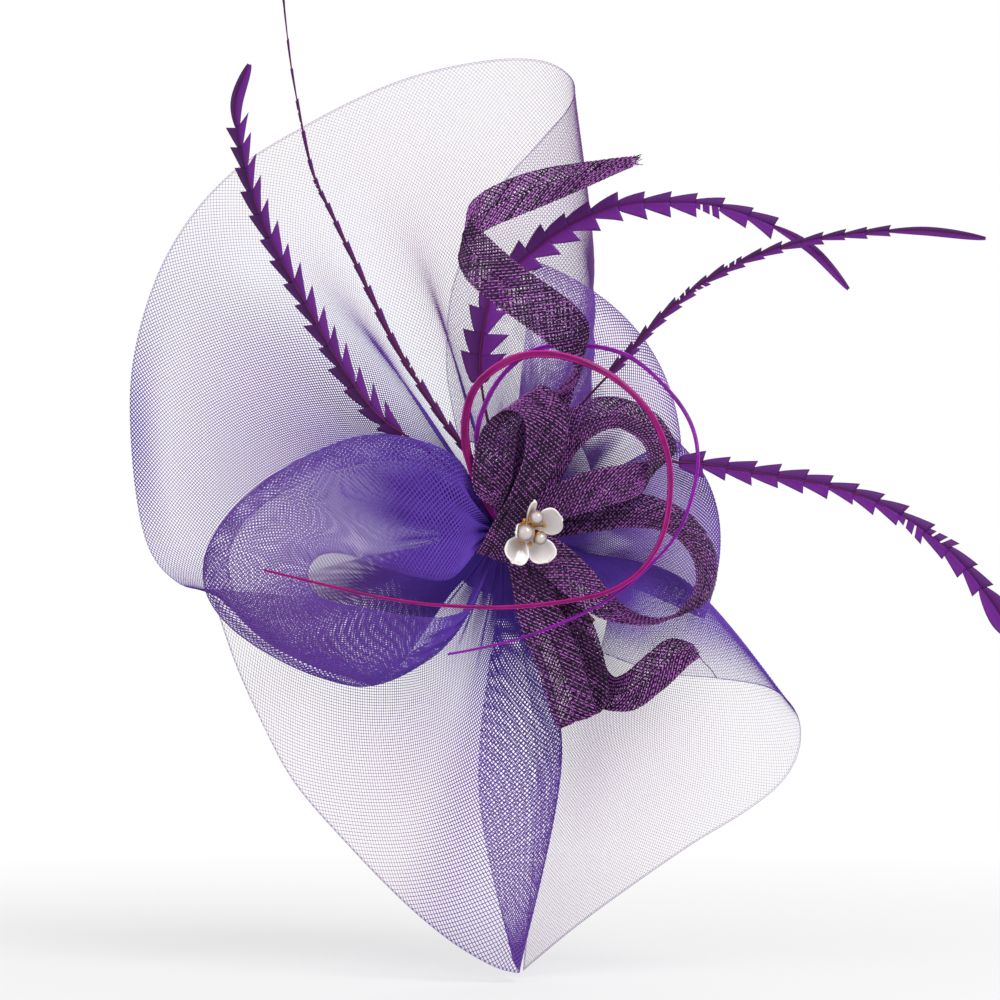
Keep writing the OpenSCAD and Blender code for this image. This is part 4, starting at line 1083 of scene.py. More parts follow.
def net_mesh(name, sheet, edges, pitch, colour, weight, seed):
    """A bias net over a sheet, with a fine selvedge along the named edges."""
    c = settings().net
    rng = np.random.default_rng(seed)
    length, width = sheet.length, sheet.width
    lines = bias_lines(length, width, c.pitch * pitch * math.sqrt(2))
    samples = THREAD_SAMPLES
    section, ease_off = (THREE_SIDED, 1.25) if sheet.area > LARGE_SHEET else (FLAT_SECTION, 1.0)
    across = np.array([np.linspace(low, high, samples) for _, low, high, _ in lines])
    lean = np.array([line[0] for line in lines])[:, None]
    along = np.array([line[3] for line in lines])[:, None] + lean * across
    points, _ = sheet.at((along / length).ravel(), (across / width).ravel())
    points = points.reshape(len(lines), samples, 3)
    flat_s, flat_t = [], []
    for k in range(len(lines)):
        stops = thread_stops(points[k], c.step * ease_off, c.turn * ease_off)
        flat_s.append(np.interp(stops, np.arange(samples), along[k]) / length)
        flat_t.append(np.interp(stops, np.arange(samples), across[k]) / width)
    threads = Threads(section)
    places, normals = sheet.at(np.concatenate(flat_s), np.concatenate(flat_t))
    start = 0
    for k, (s, t) in enumerate(zip(flat_s, flat_t)):
        stop = start + len(s)
        lift = 0.3 * c.depth * lines[k][0]
        threads.add(places[start:stop] + lift * normals[start:stop], normals[start:stop], c.thread * weight(s, t),
                    c.depth, rng.uniform(0.25, 0.75), colour(s, t), np.stack([s, t], 1))
        start = stop
    fine = np.linspace(0, 1, EDGE_SAMPLES)
    for edge in edges:
        for row in range(2):
            inset = row * SELVEDGE_GAP
            if edge in ("outer", "inner"):
                s, t = fine, np.full_like(fine, 1 - inset / width if edge == "outer" else inset / width)
            else:
                s, t = np.full_like(fine, inset / length if edge == "start" else 1 - inset / length), fine
            p, _ = sheet.at(s, t)
            stops = thread_stops(p, c.step, c.turn)
            s, t = (np.interp(stops, np.arange(EDGE_SAMPLES), x) for x in (s, t))
            p, n = sheet.at(s, t)
            size = 1.3 if row == 0 else 0.8
            threads.add(p, n, c.thread * size, c.depth, 0.3, 0.75 * colour(s, t), np.stack([s, t], 1))
    return threads.mesh(name)


def make_nets():
    """Nets every crinoline sheet over its ribs."""
    for seed, (name, (ribs, pleat, folds, edges, pitch, colour, weight)) in enumerate(NETS.items()):
        sheet = RibSheet(ribs, pleat, folds)
        mesh = net_mesh(name, sheet, edges, pitch, colour, weight, seed)
        # The loops take the lighter net, a painted lift against the shadow of the strips.
        look = looks().under_net if name.endswith("loop") else looks().net
        obj = piece(name + "_net", mesh, look, [name])


# Sinamay

def creases(seed):
    """One sharp crease and one soft ridge along a strip, as pressing and curling leave them."""
    a, b = np.random.default_rng(seed).uniform(0, 6.28, 2)

    def middle(s):
        return 0.42 + 0.16 * np.sin(7 * s + a)

    def pleat(s, t):
        valley = -0.7 * MM * bell(t, middle(s), 0.05)
        ridge = 0.5 * MM * bell(t - 0.76, 0.1 * np.sin(11 * s + b), 0.09)
        return (valley + ridge) * ease(s / 0.1) * ease((1 - s) / 0.06)

    return pleat, middle


def strip_sheet(stations, pleat):
    """A strip's middle and both edges as a sheet."""
    ribs = []
    for middle, way, share in stations:
        d = unit(np.array(way, float)) * STRIP_W * share / 2
        ribs.append((np.array(middle) - d, np.array(middle, float), np.array(middle) + d))
    return RibSheet(ribs, pleat)


def strip_places(sheet, along, wrap, width, rise):
    """Points and normals on a strip folded double: wrap runs round it from the middle of its back."""
    c = settings().sinamay
    edge = width / 2 - np.abs(wrap - width)
    x = np.sign(wrap - width) * (width / 2 - np.abs(edge))
    p, n = sheet.at(along / sheet.length, 0.5 + x / width)
    height = c.layer * np.clip(edge / 0.0007, -1, 1)
    return p + n * (height + rise)[:, None], n


def strip_fibres(sheet, crease, seed):
    """A double strip woven on the bias, with fibres that go over and under each other."""
    c = settings().sinamay
    rng = np.random.default_rng(seed)
    width, length = STRIP_W * MM, sheet.length
    crossings = round(2 * width * math.sqrt(2) / c.pitch)
    wrap = np.linspace(0, 2 * width, crossings + 1)
    gap = 2 * wrap[1]
    wave = c.wave * np.where(np.arange(crossings + 1) % 2, 1, -1)
    fibres = Threads()
    for lean in (1, -1):
        offsets = np.arange(-2 * width, length, gap) if lean > 0 else np.arange(0, length + 2 * width, gap)
        for offset in offsets:
            along = offset + lean * wrap + gap * rng.normal(0, 0.1)
            inside = np.flatnonzero((along >= 0) & (along <= length))
            if len(inside) < 3:
                continue
            ends = slice(inside[0], inside[-1] + 1)
            p, n = strip_places(sheet, along[ends], wrap[ends], width, lean * wave[ends])
            flat = np.stack([along[ends] / length, wrap[ends] / (2 * width)], 1)
            # Fibres of one bias way are painted as glints and the wider ones of the other way as the shaded ground; a
            # fibre is painted lighter where it lies over and darker where it goes under.
            over = np.sign(width / 2 - np.abs(wrap[ends] - width)) * np.sign(lean * wave[ends])
            tone, size = (0.72, 0.72) if lean > 0 else (0.22, 1.4)
            fibres.add(p, n, c.fibre * size * rng.uniform(0.8, 1.2), c.depth,
                       tone + rng.normal(0, 0.08) + 0.13 * over, 0.5, flat)
    # A fibre in the shade colour along the crease valley paints shade into the crease.
    run = np.linspace(0.01, 0.97, int(length / 0.003)) * length
    dark = (crease(run / length) + 0.5) * width
    p, n = strip_places(sheet, run, dark, width, np.full_like(run, 0.0002))
    fibres.add(p, n, c.fibre * 0.7, c.depth, 0.0, 0.5, np.stack([run / length, dark / (2 * width)], 1))
    return fibres


def fray(fibres, tip, way, width_way, count, reach, seed):
    """Loose fibre ends past the end of a strip."""
    c = settings().sinamay
    rng = np.random.default_rng(seed)
    for _ in range(count):
        start = tip + width_way * rng.uniform(-1, 1)
        bend = rng.normal(0, 0.35, 3)
        t = np.linspace(0, 1, 5)[:, None]
        line = start + reach * rng.uniform(0.4, 1) * (t * way + t * t * bend * 0.6)
        fibres.add(line, np.array([0.1, -1, 0.2]), c.fibre * 0.6, c.depth, rng.uniform(0, 1), 0.5)


# Frayed ends: tip, direction, half width, number of loose fibres, their reach and the seed of their draws
FRAYED = {
    "tall_curl": ((0.0615, -0.031, 0.1816), (0.95, 0, 0.2), (-0.0003, 0.0014, 0.0023), 26, 0.0065, 41),
    "lower_curl": ((0.0935, -0.036, -0.059), (0.75, 0.2, -0.1), (-0.0015, 0.002, 0.0028), 10, 0.003, 43),
}
LOOSE_END = [(94, -36, -59), (97, -36.5, -64), (101, -37, -68), (104, -37, -72.5)]


def make_strips():
    """Weaves every sinamay strip."""
    for seed, (name, stations) in enumerate(STRIPS.items()):
        pleat, crease = creases(30 + seed)
        sheet = strip_sheet(stations, pleat)
        fibres = strip_fibres(sheet, crease, 20 + seed)
        if name in FRAYED:
            tip, way, width_way, count, reach, draw = FRAYED[name]
            fray(fibres, np.array(tip), np.array(way), np.array(width_way), count, reach, draw)
        if name == "lower_curl":
            thread, _ = even_line(LOOSE_END, 0.002)
            fibres.add(thread, np.array([0, -1, 0.0]), 0.0004, 0.0003, 0.2, 0.5)
        obj = piece(name + "_weave", fibres.mesh(name), looks().sinamay, [name])


# Feathers

def feather_frame(path, share):
    """Places along a shaft with its direction, side and face."""
    last = len(path) - 1
    u = np.asarray(share) * last
    c = spline(path, u) * MM
    run = unit(spline(path, np.minimum(u + 0.05, last)) - spline(path, np.maximum(u - 0.05, 0)))
    side = unit(np.cross(np.array([0, 1.0, 0]), run))
    return c, run, side, np.cross(side, run)


def vane_patch(bm, path, shares, widths, hand, lean, tone, droop, lap=0.0):
    """One cut tooth or blade: a grid of barbs on one side of the shaft. lap lifts its far end over the next tooth."""
    columns = 4
    mark, reach = bm.verts.layers.float["tone"], bm.verts.layers.float["reach"]
    place = bm.loops.layers.uv["OFBake"]
    made = bmesh.ops.create_grid(bm, x_segments=len(shares) - 1, y_segments=columns, size=1)["verts"]
    q = np.array([((v.co.x + 1) / 2, (v.co.y + 1) / 2) for v in made])
    along = np.interp(q[:, 0], np.linspace(0, 1, len(shares)), shares)
    w = np.interp(q[:, 0], np.linspace(0, 1, len(shares)), widths)[:, None] * MM
    out = q[:, 1:]
    c, run, side, face = feather_frame(path, along)
    spots = c + hand * side * w * out + run * w * out * lean - face * (w * droop * out * out - lap * MM * q[:, :1])
    for v, spot, (_, k) in zip(made, spots, q):
        v.co = spot
        v[mark], v[reach] = tone, k
    flat = {v: (s, 0.5 + hand * (0.02 + 0.46 * k)) for v, s, (_, k) in zip(made, along, q)}
    for f in {f for v in made for f in v.link_faces}:
        if f.normal.dot(Vector(face[0])) > 0:
            f.normal_flip()
        for corner in f.loops:
            corner[place].uv = flat[corner.vert]


def vane_mesh(name, path, teeth, vane, start, stop, cut, seed):
    """Vane of cut teeth with a plain blade at the tip."""
    (first, last), wides, leans, notches, blades, shift = cut
    rng = np.random.default_rng(seed)
    span = (stop - start) / teeth
    bm = bmesh.new()
    for label in ("tone", "reach"):
        bm.verts.layers.float.new(label)
    bm.loops.layers.uv.new("OFBake")
    for hand, wide, lean, notch, blade in zip((-1, 1), wides, leans, notches, blades):
        droop = 0.2 if hand < 0 else 0.05
        # The left vane's teeth are painted in shade and the right vane's painted lit.
        base = (0.22 if hand < 0 else 0.85) + shift
        for i in range(teeth):
            size = vane * wide * (first + (last - first) * i / (teeth - 1)) * rng.uniform(0.86, 1.08)
            least = notch * size * rng.uniform(0.7, 1.25)
            reach, bow, parts = rng.uniform(1.03, 1.09), rng.uniform(0.7, 1.0), rng.choice((1, 3), p=(0.94, 0.06))
            slant, shade = lean + rng.uniform(-0.1, 0.1), base + rng.uniform(-0.12, 0.12)
            for part in range(parts):
                q = (part + np.linspace(0, 1 if parts == 1 else 0.8, 9)) / parts
                vane_patch(bm, path, start + (i + reach * q) * span, least + (size - least) * q**bow, hand,
                           slant + 0.12 * part, shade, droop + rng.uniform(-0.05, 0.07), 0.3)
        q = np.linspace(0, 1, 17)
        widths = 0.2 + blade * np.sin(math.pi * np.clip(0.04 + 0.9 * q, 0, 1) ** 0.9) ** 0.75
        vane_patch(bm, path, stop + q * (0.995 - stop), widths, hand, 0.3, base + 0.05, droop * 0.6)
    return mesh_of(bm, name, outward=False)


def shaft_mesh(name, path, vane):
    """Tapering shaft of a feather."""
    share = np.linspace(0, 0.985, 90)
    c, _, _, face = feather_frame(path, share)
    bm = bmesh.new()
    radius = settings().feather.shaft * (1 - 0.74 * share) * (1 if vane > 2 else 1.1)
    rod(bm, c, radius, 8, face[0])
    return mesh_of(bm, name)


def make_feathers():
    """Cuts every feather."""
    for seed, (name, (path, teeth, vane, start, stop)) in enumerate(FEATHERS.items()):
        mesh = vane_mesh(name + "_vane", path, teeth, vane, start, stop, FEATHER_CUTS[name], 60 + seed)
        obj = piece(name + "_vane", mesh, looks().vane, [name])
        thicken(obj, settings().feather.thickness)
        piece(name + "_shaft", shaft_mesh(name + "_shaft", path, vane), looks().spine)


# Quills

def make_quills():
    """Rolls the ring quills and the cut stub, with their joints and groove."""
    c = settings().quill
    for name, (path, r0, r1, look, slot) in QUILLS.items():
        points, run = even_line(path, 0.0015)
        rng = np.random.default_rng(80 + len(name))
        joints = np.cumsum(rng.uniform(0.022, 0.05, 40))
        swell, dark = np.zeros_like(run), np.zeros_like(run)
        for j in joints[joints < run[-1] - 0.02]:
            swell += 0.09 * bell(run, j, 0.0018)
            dark += bell(run - j, 0.002, 0.0016)
        wobble = 0.04 * np.sin(run * 140) + 0.03 * np.sin(run * 61 + 1)
        radius = (r0 + (r1 - r0) * (run / run[-1]) ** 0.9) * MM * (1 + swell + wobble)
        bm = bmesh.new()
        rod(bm, points, radius, c.sides, (0, -1, 0), 0.9, 0.28, np.clip(dark, 0, 1))
        piece(name + "_rod", mesh_of(bm, name), getattr(looks(), look), [name])


# Flower

def flower_place():
    """Flower frame in metres, as the part's source turns it."""
    x, y, z = (math.radians(a) for a in FLOWER_TILT)
    turn = Matrix.Rotation(z, 4, "Z") @ Matrix.Rotation(y, 4, "Y") @ Matrix.Rotation(x, 4, "X")
    return Matrix.Translation(Vector(FLOWER_AT) * MM) @ turn @ Matrix.Scale(MM, 4)


PETAL_L, PETAL_W, PETAL_RISE, PETAL_ROLL, FOOT_R = 14.0, 12.0, 7.0, 16.0, 3.2
PETAL_T, RIM_R = 0.0006, 0.00052
PEARLS = {"big_pearl": ((-3.4, 0.2, 8.6), 9.0), "upper_pearl": ((1.2, 8.4, 9.4), 7.0),
          "side_pearl": ((4.8, -2.6, 8.6), 6.6)}
STAMENS = [(-3.6, -5.6, 6.6), (0.6, -6.2, 6.6), (6.6, 3.4, 7.0), (-4.4, 6.4, 7.4)]
# Each petal: angle round the flower, then its form as length share, width share, cupping in millimetres and depth of
# the painted shade in it
PETALS = {
    "petal_right": (30, (0.95, 1.4, 1.6, 0.3)),
    "petal_top": (94, (1.0, 0.3, 1.0, 0.2)),
    "petal_left": (174, (0.42, 0.5, 0.8, 0.8)),
    "petal_lower_left": (238, (1.0, 1.05, 1.6, 1.0)),
    "petal_lower_right": (305, (1.02, 1.08, 1.6, 0.75)),
}


def petal_point(u, v, form, angle):
    """Place on a petal: u from foot to tip, v from edge to edge."""
    long, wide, cup, _ = form
    shape = 0.3 + 0.7 * ease(u / 0.58)
    if u > 0.62:
        shape *= math.sqrt(1 - ((u - 0.62) / 0.384) ** 3)
    w, roll = PETAL_W / 2 * wide * shape * v, math.radians(PETAL_ROLL)
    wavy = 0.45 * math.sin(5.5 * v + angle) * u * u * v * v
    rise = 2.4 + PETAL_RISE * u**1.5 + w * math.sin(roll) + cup * v * v * math.sin(math.pi * min(u, 0.8)) + wavy
    return Vector((FOOT_R + PETAL_L * long * u * (1 - 0.05 * v * v), w * math.cos(roll), rise))


def petal_mesh(name, angle, form):
    """A cupped petal, and the line of its rim."""
    rows, columns = 30, 24
    place = flower_place() @ Matrix.Rotation(math.radians(angle), 4, "Z")
    bm = bmesh.new()
    bmesh.ops.create_grid(bm, x_segments=rows, y_segments=columns, size=1)
    tone = bm.verts.layers.float.new("tone")
    uv = bm.loops.layers.uv.new("OFBake")
    flat = {}
    for v in bm.verts:
        a, b = (v.co.x + 1) / 2, v.co.y
        flat[v] = (a, (b + 1) / 2)
        v.co = place @ petal_point(a, b, form, angle)
        # tone paints shade into the petal: deepest in the middle of its field, fading at the rim and toward one edge.
        rim = max(abs(b) ** 5, (max(a, 0.5) * 2 - 1) ** 6)
        v[tone] = (1 - rim) * (0.55 + 0.45 * math.sin(math.pi * a)) * (0.8 + 0.2 * b) * form[3]
    for face in bm.faces:
        for corner in face.loops:
            corner[uv].uv = flat[corner.vert]
    outline = [petal_point(k / 24, -1, form, angle) for k in range(3, 25)]
    outline += [petal_point(1, k / 6, form, angle) for k in range(-5, 6)]
    outline += [petal_point(1 - k / 24, 1, form, angle) for k in range(0, 22)]
    return mesh_of(bm, name), np.array([place @ p for p in outline])


def pearl_cup(bm, centre, foot, radius):
    """A small gold bowl under a pearl."""
    arc = [(-90 + 15 * k) for k in range(6)]
    outer, inner = radius + 0.00045, radius + 0.0001
    profile = [(outer * math.cos(math.radians(a)), outer * math.sin(math.radians(a))) for a in arc]
    profile += [(inner * math.cos(math.radians(a)), inner * math.sin(math.radians(a))) for a in arc[::-1]]
    turned(bm, [(x, 0, z) for x, z in profile], (0, 0, 1), 28)
    verts = list({v for e in bm.edges if e.is_valid for v in e.verts if v.is_valid and v.tag is False})
    turn = (centre - foot).to_track_quat("Z", "Y").to_matrix().to_4x4()
    bmesh.ops.transform(bm, matrix=Matrix.Translation(centre) @ turn, verts=verts)
    for v in verts:
        v.tag = True


def make_flower():
    """Shapes the petals, pearls, gold cup, wires and stamens."""
    place = flower_place()
    axis = (place.to_3x3() @ Vector((0, 0, 1))).normalized()
    rims = bmesh.new()
    for name, (angle, form) in PETALS.items():
        me, line = petal_mesh(name, angle, form)
        obj = piece(name + "_shell", me, looks().petal, [name])
        thicken(obj, PETAL_T)
        rod(rims, line, RIM_R, 8, axis, tone=0.0)
    piece("petal_rims", mesh_of(rims, "petal_rims"), looks().petal)
    wires, cups = bmesh.new(), bmesh.new()
    for name, (at, d) in PEARLS.items():
        bm = bmesh.new()
        bmesh.ops.create_icosphere(bm, subdivisions=4, radius=d / 2 * MM)
        for v in bm.verts:
            v.co *= 1 + 0.008 * math.sin(900 * v.co.x + 3) * math.sin(700 * v.co.z)
        centre = place @ Vector(at)
        bmesh.ops.translate(bm, verts=bm.verts, vec=centre)
        piece(name + "_bead", mesh_of(bm, name), looks().pearl, [name])
        foot = place @ Vector((0.4 * at[0], 0.2 * at[1], 2.4))
        rod(wires, np.array([foot, foot.lerp(centre, 0.5), foot.lerp(centre, 0.8)]), 0.0004, 8, (0.3, 0.2, 1.0))
        pearl_cup(cups, centre, foot, d / 2 * MM)
    for at in STAMENS:
        foot, head = place @ Vector((0.25 * at[0], 0.25 * at[1], 2.4)), place @ Vector(at)
        middle = foot.lerp(head, 0.5) + Vector((0.0003, 0, 0.0003))
        line, _ = even_line(np.array([foot, middle, head]) / MM, 0.0006)
        rod(wires, line, 0.0003, 8, (0.3, 0.2, 1.0))
    piece("stamen_wires", mesh_of(wires, "stamen_wires"), looks().gold, ["stamens"])
    bmesh.ops.remove_doubles(cups, verts=cups.verts, dist=1e-7)
    piece("pearl_cups", mesh_of(cups, "pearl_cups"), looks().gold)
    heads = bmesh.new()
    for at in STAMENS:
        made = bmesh.ops.create_icosphere(heads, subdivisions=3, radius=0.00095)
        for v in made["verts"]:
            v.co = v.co * (1 + 0.12 * math.sin(5 * math.atan2(v.co.y, v.co.x))) + place @ Vector(at)
    piece("stamen_heads", mesh_of(heads, "stamen_heads"), looks().gold)
    bm = bmesh.new()
    profile = [(0.0, 0.0), (2.1, 0.0), (2.6, 0.3), (4.4, 1.2), (4.55, 1.4), (4.3, 1.5), (3.7, 1.55), (3.55, 2.8),
               (3.3, 3.0), (2.4, 2.7), (0.0, 2.5)]
    turned(bm, [(x, 0, z) for x, z in profile], (0, 0, 1), 48)
    bmesh.ops.remove_doubles(bm, verts=bm.verts, dist=0.001)
    bmesh.ops.transform(bm, matrix=place, verts=bm.verts)
    piece("flower_cup_turned", mesh_of(bm, "flower_cup"), looks().gold, ["flower_cup"])
    bm = bmesh.new()
    line, _ = even_line([(2, CORE_END_Y + 3, -1), (5, CORE_END_Y - 4, -1), (9, -44, -1.6), (10.3, -51.7, 1.1)], 0.0006)
    rod(bm, line, 0.0006, 10, (0, 0, 1))
    piece("flower_stem_wire", mesh_of(bm, "flower_stem"), looks().gold, ["flower_stem"])


# Base and clip

RIM_STITCHES = 72


def spun(profile, steps=128):
    """Profile points (radius, depth) spun round the core's axis."""
    bm = bmesh.new()
    turned(bm, [Vector((r * MM, y * MM, 0)) for r, y in profile], (0, 1, 0), steps)
    bmesh.ops.remove_doubles(bm, verts=bm.verts, dist=1e-6)
    return bm


def make_base():
    """Covers the base: felt, bound rim, stiff disc and the wrapped core."""
    r = BASE_D / 2
    bm = spun([(0, FELT_Y), (8, FELT_Y), (16, FELT_Y), (24, FELT_Y), (r - 0.5, FELT_Y), (r - 0.1, FELT_Y - 0.2),
               (r - 0.02, FELT_Y - 0.8), (r - 0.1, DISC_Y + 0.1), (r - 0.6, DISC_Y), (16, DISC_Y), (0, DISC_Y)])
    felt = piece("felt_disc", mesh_of(bm, "felt"), looks().felt, ["felt_backing"])
    outer, lip = r + 0.8, r - 4
    bm = spun([(r + 0.02, FELT_Y), (outer - 0.25, FELT_Y), (outer, FELT_Y - 0.35), (outer + 0.1, FELT_Y - 2),
               (outer, FRONT_Y - 0.45), (outer - 0.3, FRONT_Y - 0.75), (r - 1.5, FRONT_Y - 0.85),
               (lip + 0.5, FRONT_Y - 0.7), (lip, FRONT_Y - 0.4), (lip + 0.2, FRONT_Y - 0.05),
               (r + 0.02, FRONT_Y - 0.02), (r + 0.02, FELT_Y)], 180)
    for v in bm.verts:
        a = math.atan2(v.co.z, v.co.x)
        v.co.y -= 0.00006 * (1 + math.sin(60 * a)) * (1 if v.co.y < FRONT_Y * MM - 0.0003 else 0)
    binding = piece("rim_bias", mesh_of(bm, "binding"), looks().binding, ["rim_binding"])
    stitches = Threads(round_section(6))
    for k in range(RIM_STITCHES):
        a = 2 * math.pi * k / RIM_STITCHES
        t = np.linspace(-0.5, 0.5, 7)
        ring = a + t * 0.055
        lift = FRONT_Y - 0.72 - 0.24 * np.cos(math.pi * t)
        line = np.stack([(lip + 1.2) * np.cos(ring), lift, (lip + 1.2) * np.sin(ring)], 1) * MM
        stitches.add(line, np.array([0, -1.0, 0]), 0.0004, 0.0004, (k * 7 % 10) / 10)
    piece("rim_stitches", stitches.mesh("rim_stitches"), looks().thread)
    dress("base_disc", looks().buckram)
    wrap = Threads(round_section(6))
    turns, steps = 44, 26
    k = np.arange(turns * steps + 1) / steps
    depth = FRONT_Y - 0.4 - (abs(CORE_END_Y - FRONT_Y) - 0.8) * k / turns
    radius = CORE_R - 0.38 + 0.12 * np.sin(k * 2.3)
    line = np.stack([radius * np.cos(2 * math.pi * k), depth, radius * np.sin(2 * math.pi * k)], 1) * MM
    wrap.add(line, unit(line * np.array([1, 0, 1.0])), 0.0009, 0.0007, 0.5 + 0.4 * np.sin(k * 9))
    inner = CORE_R - 0.45
    bm = spun([(0, FRONT_Y), (inner, FRONT_Y), (inner, CORE_END_Y + 0.8), (inner - 0.8, CORE_END_Y),
               (0, CORE_END_Y)], 48)
    me = mesh_of(bm, "core")
    me.attributes.new("tone", "FLOAT", "POINT").data.foreach_set("value", np.full(len(me.vertices), 0.3, np.float32))
    piece("core_glue", me, looks().thread, ["bound_core"])
    piece("core_wrapping", wrap.mesh("core_wrapping"), looks().thread)


CLIP = {"clip_w": 9.0, "jaw_t": 0.8, "pin": (10.0, 4.2), "pin_d": 1.6, "lever_l": 19.0,
        "lever_rise": 7.0, "wire_d": 0.7, "turns": 2, "gap": 0.4}
STITCHED_X = (-29.0, 26.6, 25.0)


def spring_line():
    """Centre line of the torsion spring, as the part's source winds it."""
    c = CLIP
    px, py = c["pin"]
    coil_r = c["pin_d"] / 2 + 0.4 + c["wire_d"] / 2
    pitch = c["wire_d"] + 0.45
    half = pitch * (c["turns"] + 0.5) / 2
    arm_y = py + max(coil_r + c["wire_d"] / 2 + 0.6, 3.2)
    line = [(px + 0.72 * c["lever_l"], c["wire_d"] / 2 - c["gap"] / 2 + 0.3, -half),
            (px + 0.4 * c["lever_l"], py * 0.45, -half)]
    per_turn = 40
    for i in range(int(per_turn * (c["turns"] + 0.5)) + 1):
        a = -math.pi / 2 - 2 * math.pi * i / per_turn
        line.append((px + coil_r * math.cos(a), py + coil_r * math.sin(a), -half + pitch * i / per_turn))
    line += [(px + 0.35 * c["lever_l"], arm_y - 1.2 + 0.17 * c["lever_rise"], half),
             (px + 0.72 * c["lever_l"], arm_y - 1.2 + 0.58 * c["lever_rise"], half)]
    return np.array(line) * MM, half * MM


def make_clip():
    """Finishes the hair clip: steel, wound spring and the stitches that hold it."""
    for name in ("clip_fixed_jaw", "clip_moving_jaw", "clip_pin"):
        dress(name, looks().steel)
    line, half = spring_line()
    bm = bmesh.new()
    rod(bm, line, CLIP["wire_d"] / 2 * MM, 10, (0, 0, 1))
    spring = piece("spring_wire", mesh_of(bm, "spring_wire"), looks().steel, ["clip_spring"], body=None)
    px, py = CLIP["pin"]
    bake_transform(spring, HEADPIECE, JAW, start=(px * MM, py * MM, -half + 0.0002), end=(px * MM, py * MM, half - 0.0002))
    sewn = Threads(round_section(8))
    wide, top = CLIP["clip_w"] / 2 + 0.25, FELT_Y + CLIP["jaw_t"] + 0.22
    for x in STITCHED_X:
        for s in (0, 1):
            at = x + s * 0.8 - 0.15
            path = [(at, FELT_Y - 0.2, -wide), (at, FELT_Y + 0.5, -wide), (at, top, -wide + 0.5),
                    (at + 0.1, top + 0.03, 0), (at, top, wide - 0.5), (at, FELT_Y + 0.5, wide),
                    (at, FELT_Y - 0.2, wide)]
            points, _ = even_line(path, 0.0004)
            sewn.add(points, np.array([1.0, 0, 0]), 0.0005, 0.0005, 0.3 + 0.4 * s)
    piece("clip_sewing", sewn.mesh("clip_sewing"), looks().thread, ["clip_stitches"])


# Stage

def make_stage():
    """Floor, soft light and the camera."""
    c = settings().stage
    scene = bpy.context.scene
    scene.view_settings.view_transform = "Standard"
    floor_z = CAD_BOX[0][2] - 0.004
    bm = bmesh.new()
    bmesh.ops.create_circle(bm, cap_ends=True, segments=96, radius=14)
    bmesh.ops.translate(bm, verts=bm.verts, vec=(0, 0, floor_z))
    floor = bpy.data.objects.new("floor", mesh_of(bm, "floor"))
    scene.collection.objects.link(floor)
    material = bpy.data.materials.new("pale_floor")
    material.use_nodes = True
    n = Nodes(material.node_tree)
    matte = n.add("ShaderNodeBsdfDiffuse", {"Color": (0.86, 0.86, 0.87, 1)})
    glow = n.add("ShaderNodeEmission", {"Color": (1, 1, 1, 1), "Strength": 1.0})
    far = n.add("ShaderNodeVectorMath", {0: n.place()}, operation="LENGTH").outputs["Value"]
    fade = n.math("MULTIPLY", n.math("SUBTRACT", far, 0.3), 2.0, clamp=True)
    share = n.math("MULTIPLY", n.seen_directly(), n.math("ADD", n.math("MULTIPLY", fade, 0.45), 0.55))
    blend = n.add("ShaderNodeMixShader", {0: share, 1: matte.outputs[0], 2: glow.outputs[0]})
    out = n.add("ShaderNodeOutputMaterial")
    n.tree.links.new(blend.outputs[0], out.inputs[0])
    floor.data.materials.append(material)
    world = bpy.data.worlds.new("studio")
    scene.world = world
    world.use_nodes = True
    n = Nodes(world.node_tree)
    light = n.add("ShaderNodeBackground", {"Color": (1, 1, 1, 1), "Strength": c.world})
    white = n.add("ShaderNodeBackground", {"Color": (1, 1, 1, 1), "Strength": 1.0})
    blend = n.add("ShaderNodeMixShader", {0: n.seen_directly(), 1: light.outputs[0], 2: white.outputs[0]})
    out = n.add("ShaderNodeOutputWorld")
    n.tree.links.new(blend.outputs[0], out.inputs[0])
    for name, place, power, size in (
        ("key_lamp", (0.9, -1.3, 1.3), c.key, 1.1),
        ("fill_lamp", (-1.3, -1.4, 0.5), c.fill, 1.4),
        ("back_lamp", (0.2, 1.6, 0.9), c.fill * 0.8, 1.2),
    ):
        lamp = bpy.data.lights.new(name, "AREA")
        lamp.energy, lamp.size, lamp.shape = power, size, "DISK"
        obj = bpy.data.objects.new(name, lamp)
        obj.location = place
        obj.rotation_euler = (Vector((0, 0, 0)) - Vector(place)).to_track_quat("-Z", "Y").to_euler()
        scene.collection.objects.link(obj)
    data = bpy.data.cameras.new("camera")
    data.sensor_width = 36
    data.lens = 36 * c.distance / c.field
    camera = bpy.data.objects.new("camera", data)
    camera.location = (-0.0025, -c.distance, 0.015)
    camera.rotation_euler = (math.pi / 2, 0, 0)
    scene.collection.objects.link(camera)
    scene.camera = camera


# Operators

class Step:
    """What every operator of the headpiece does: it runs its own make function."""

    def execute(self, context):
        self.make()
        return {"FINISHED"}


class FASCINATOR_OT_stage(Step, bpy.types.Operator):
    """Set the floor, the light and the camera"""

    bl_idname, bl_label = "fascinator.stage", "Stage"
    make = staticmethod(make_stage)


class FASCINATOR_OT_crinoline(Step, bpy.types.Operator):
    """Net the crinoline fans, veil, puff and loops"""

    bl_idname, bl_label = "fascinator.crinoline", "Crinoline"
    make = staticmethod(make_nets)


class FASCINATOR_OT_sinamay(Step, bpy.types.Operator):
    """Weave the sinamay loops, strap and curls"""

    bl_idname, bl_label = "fascinator.sinamay", "Sinamay"
    make = staticmethod(make_strips)


class FASCINATOR_OT_feathers(Step, bpy.types.Operator):
    """Cut the arrow feathers"""

    bl_idname, bl_label = "fascinator.feathers", "Feathers"
    make = staticmethod(make_feathers)


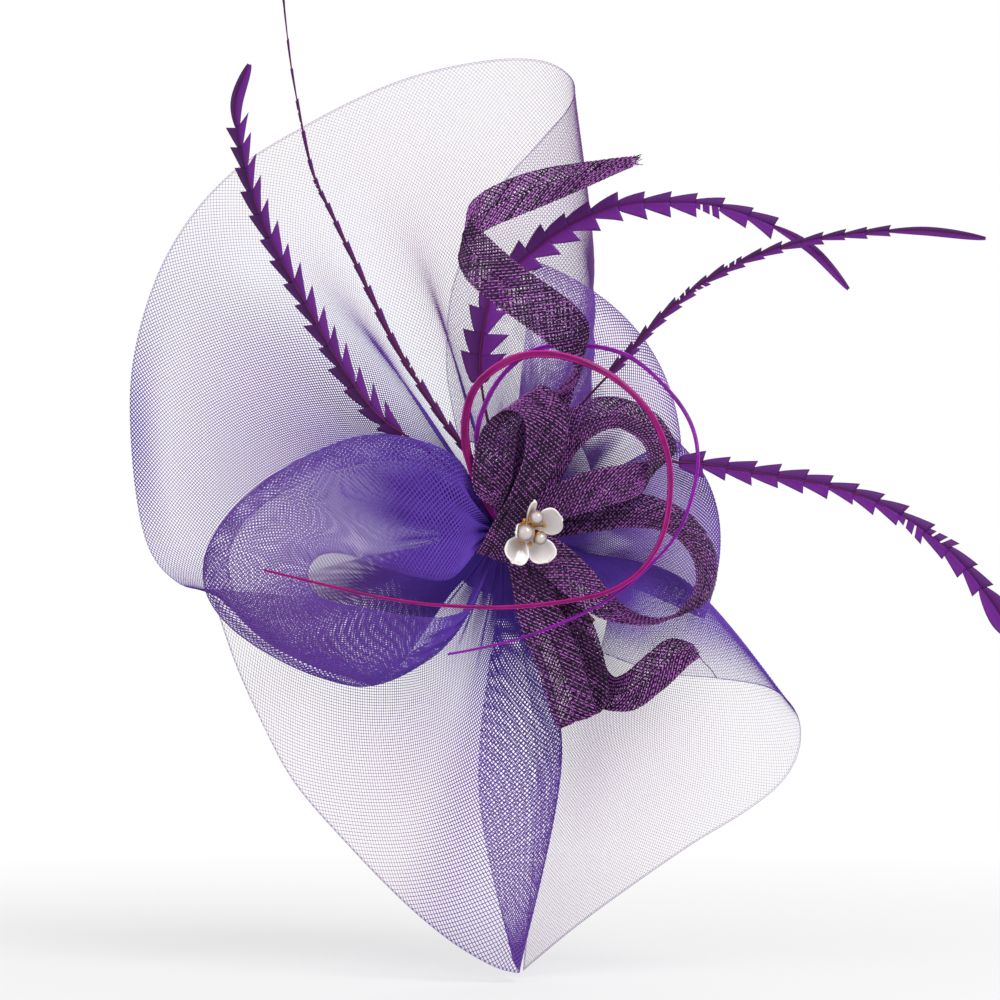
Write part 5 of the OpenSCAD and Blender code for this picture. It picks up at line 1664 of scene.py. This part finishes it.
class FASCINATOR_OT_quills(Step, bpy.types.Operator):
    """Roll the ring quills and the stub"""

    bl_idname, bl_label = "fascinator.quills", "Quills"
    make = staticmethod(make_quills)


class FASCINATOR_OT_flower(Step, bpy.types.Operator):
    """Shape the petals, pearls and gold parts of the flower"""

    bl_idname, bl_label = "fascinator.flower", "Flower"
    make = staticmethod(make_flower)


class FASCINATOR_OT_base(Step, bpy.types.Operator):
    """Cover the base with felt, binding and the wrapped core"""

    bl_idname, bl_label = "fascinator.base", "Base"
    make = staticmethod(make_base)


class FASCINATOR_OT_clip(Step, bpy.types.Operator):
    """Finish the hair clip, its spring and its stitches"""

    bl_idname, bl_label = "fascinator.clip", "Hair clip"
    make = staticmethod(make_clip)


STEPS = (
    FASCINATOR_OT_stage,
    FASCINATOR_OT_crinoline,
    FASCINATOR_OT_sinamay,
    FASCINATOR_OT_feathers,
    FASCINATOR_OT_quills,
    FASCINATOR_OT_flower,
    FASCINATOR_OT_base,
    FASCINATOR_OT_clip,
)


class FASCINATOR_PT_panel(bpy.types.Panel):
    """Lists the steps that build the headpiece"""

    bl_idname = "FASCINATOR_PT_panel"
    bl_label = "Fascinator"
    bl_space_type = "VIEW_3D"
    bl_region_type = "UI"
    bl_category = "Fascinator"

    def draw(self, context):
        for step in STEPS:
            self.layout.operator(step.bl_idname)


GROUPS = (
    NetSettings,
    SinamaySettings,
    FeatherSettings,
    QuillSettings,
    FlowerSettings,
    FindingSettings,
    StageSettings,
    FascinatorSettings,
)


def register():
    for kind in (*GROUPS, *STEPS, FASCINATOR_PT_panel):
        bpy.utils.register_class(kind)
    bpy.types.Scene.fascinator = PointerProperty(type=FascinatorSettings)


def unregister():
    del bpy.types.Scene.fascinator
    for kind in reversed((*GROUPS, *STEPS, FASCINATOR_PT_panel)):
        bpy.utils.unregister_class(kind)


def main():
    register()
    for step in STEPS:
        family, name = step.bl_idname.split(".")
        getattr(getattr(bpy.ops, family), name)()


if __name__ == "__main__":
    main()
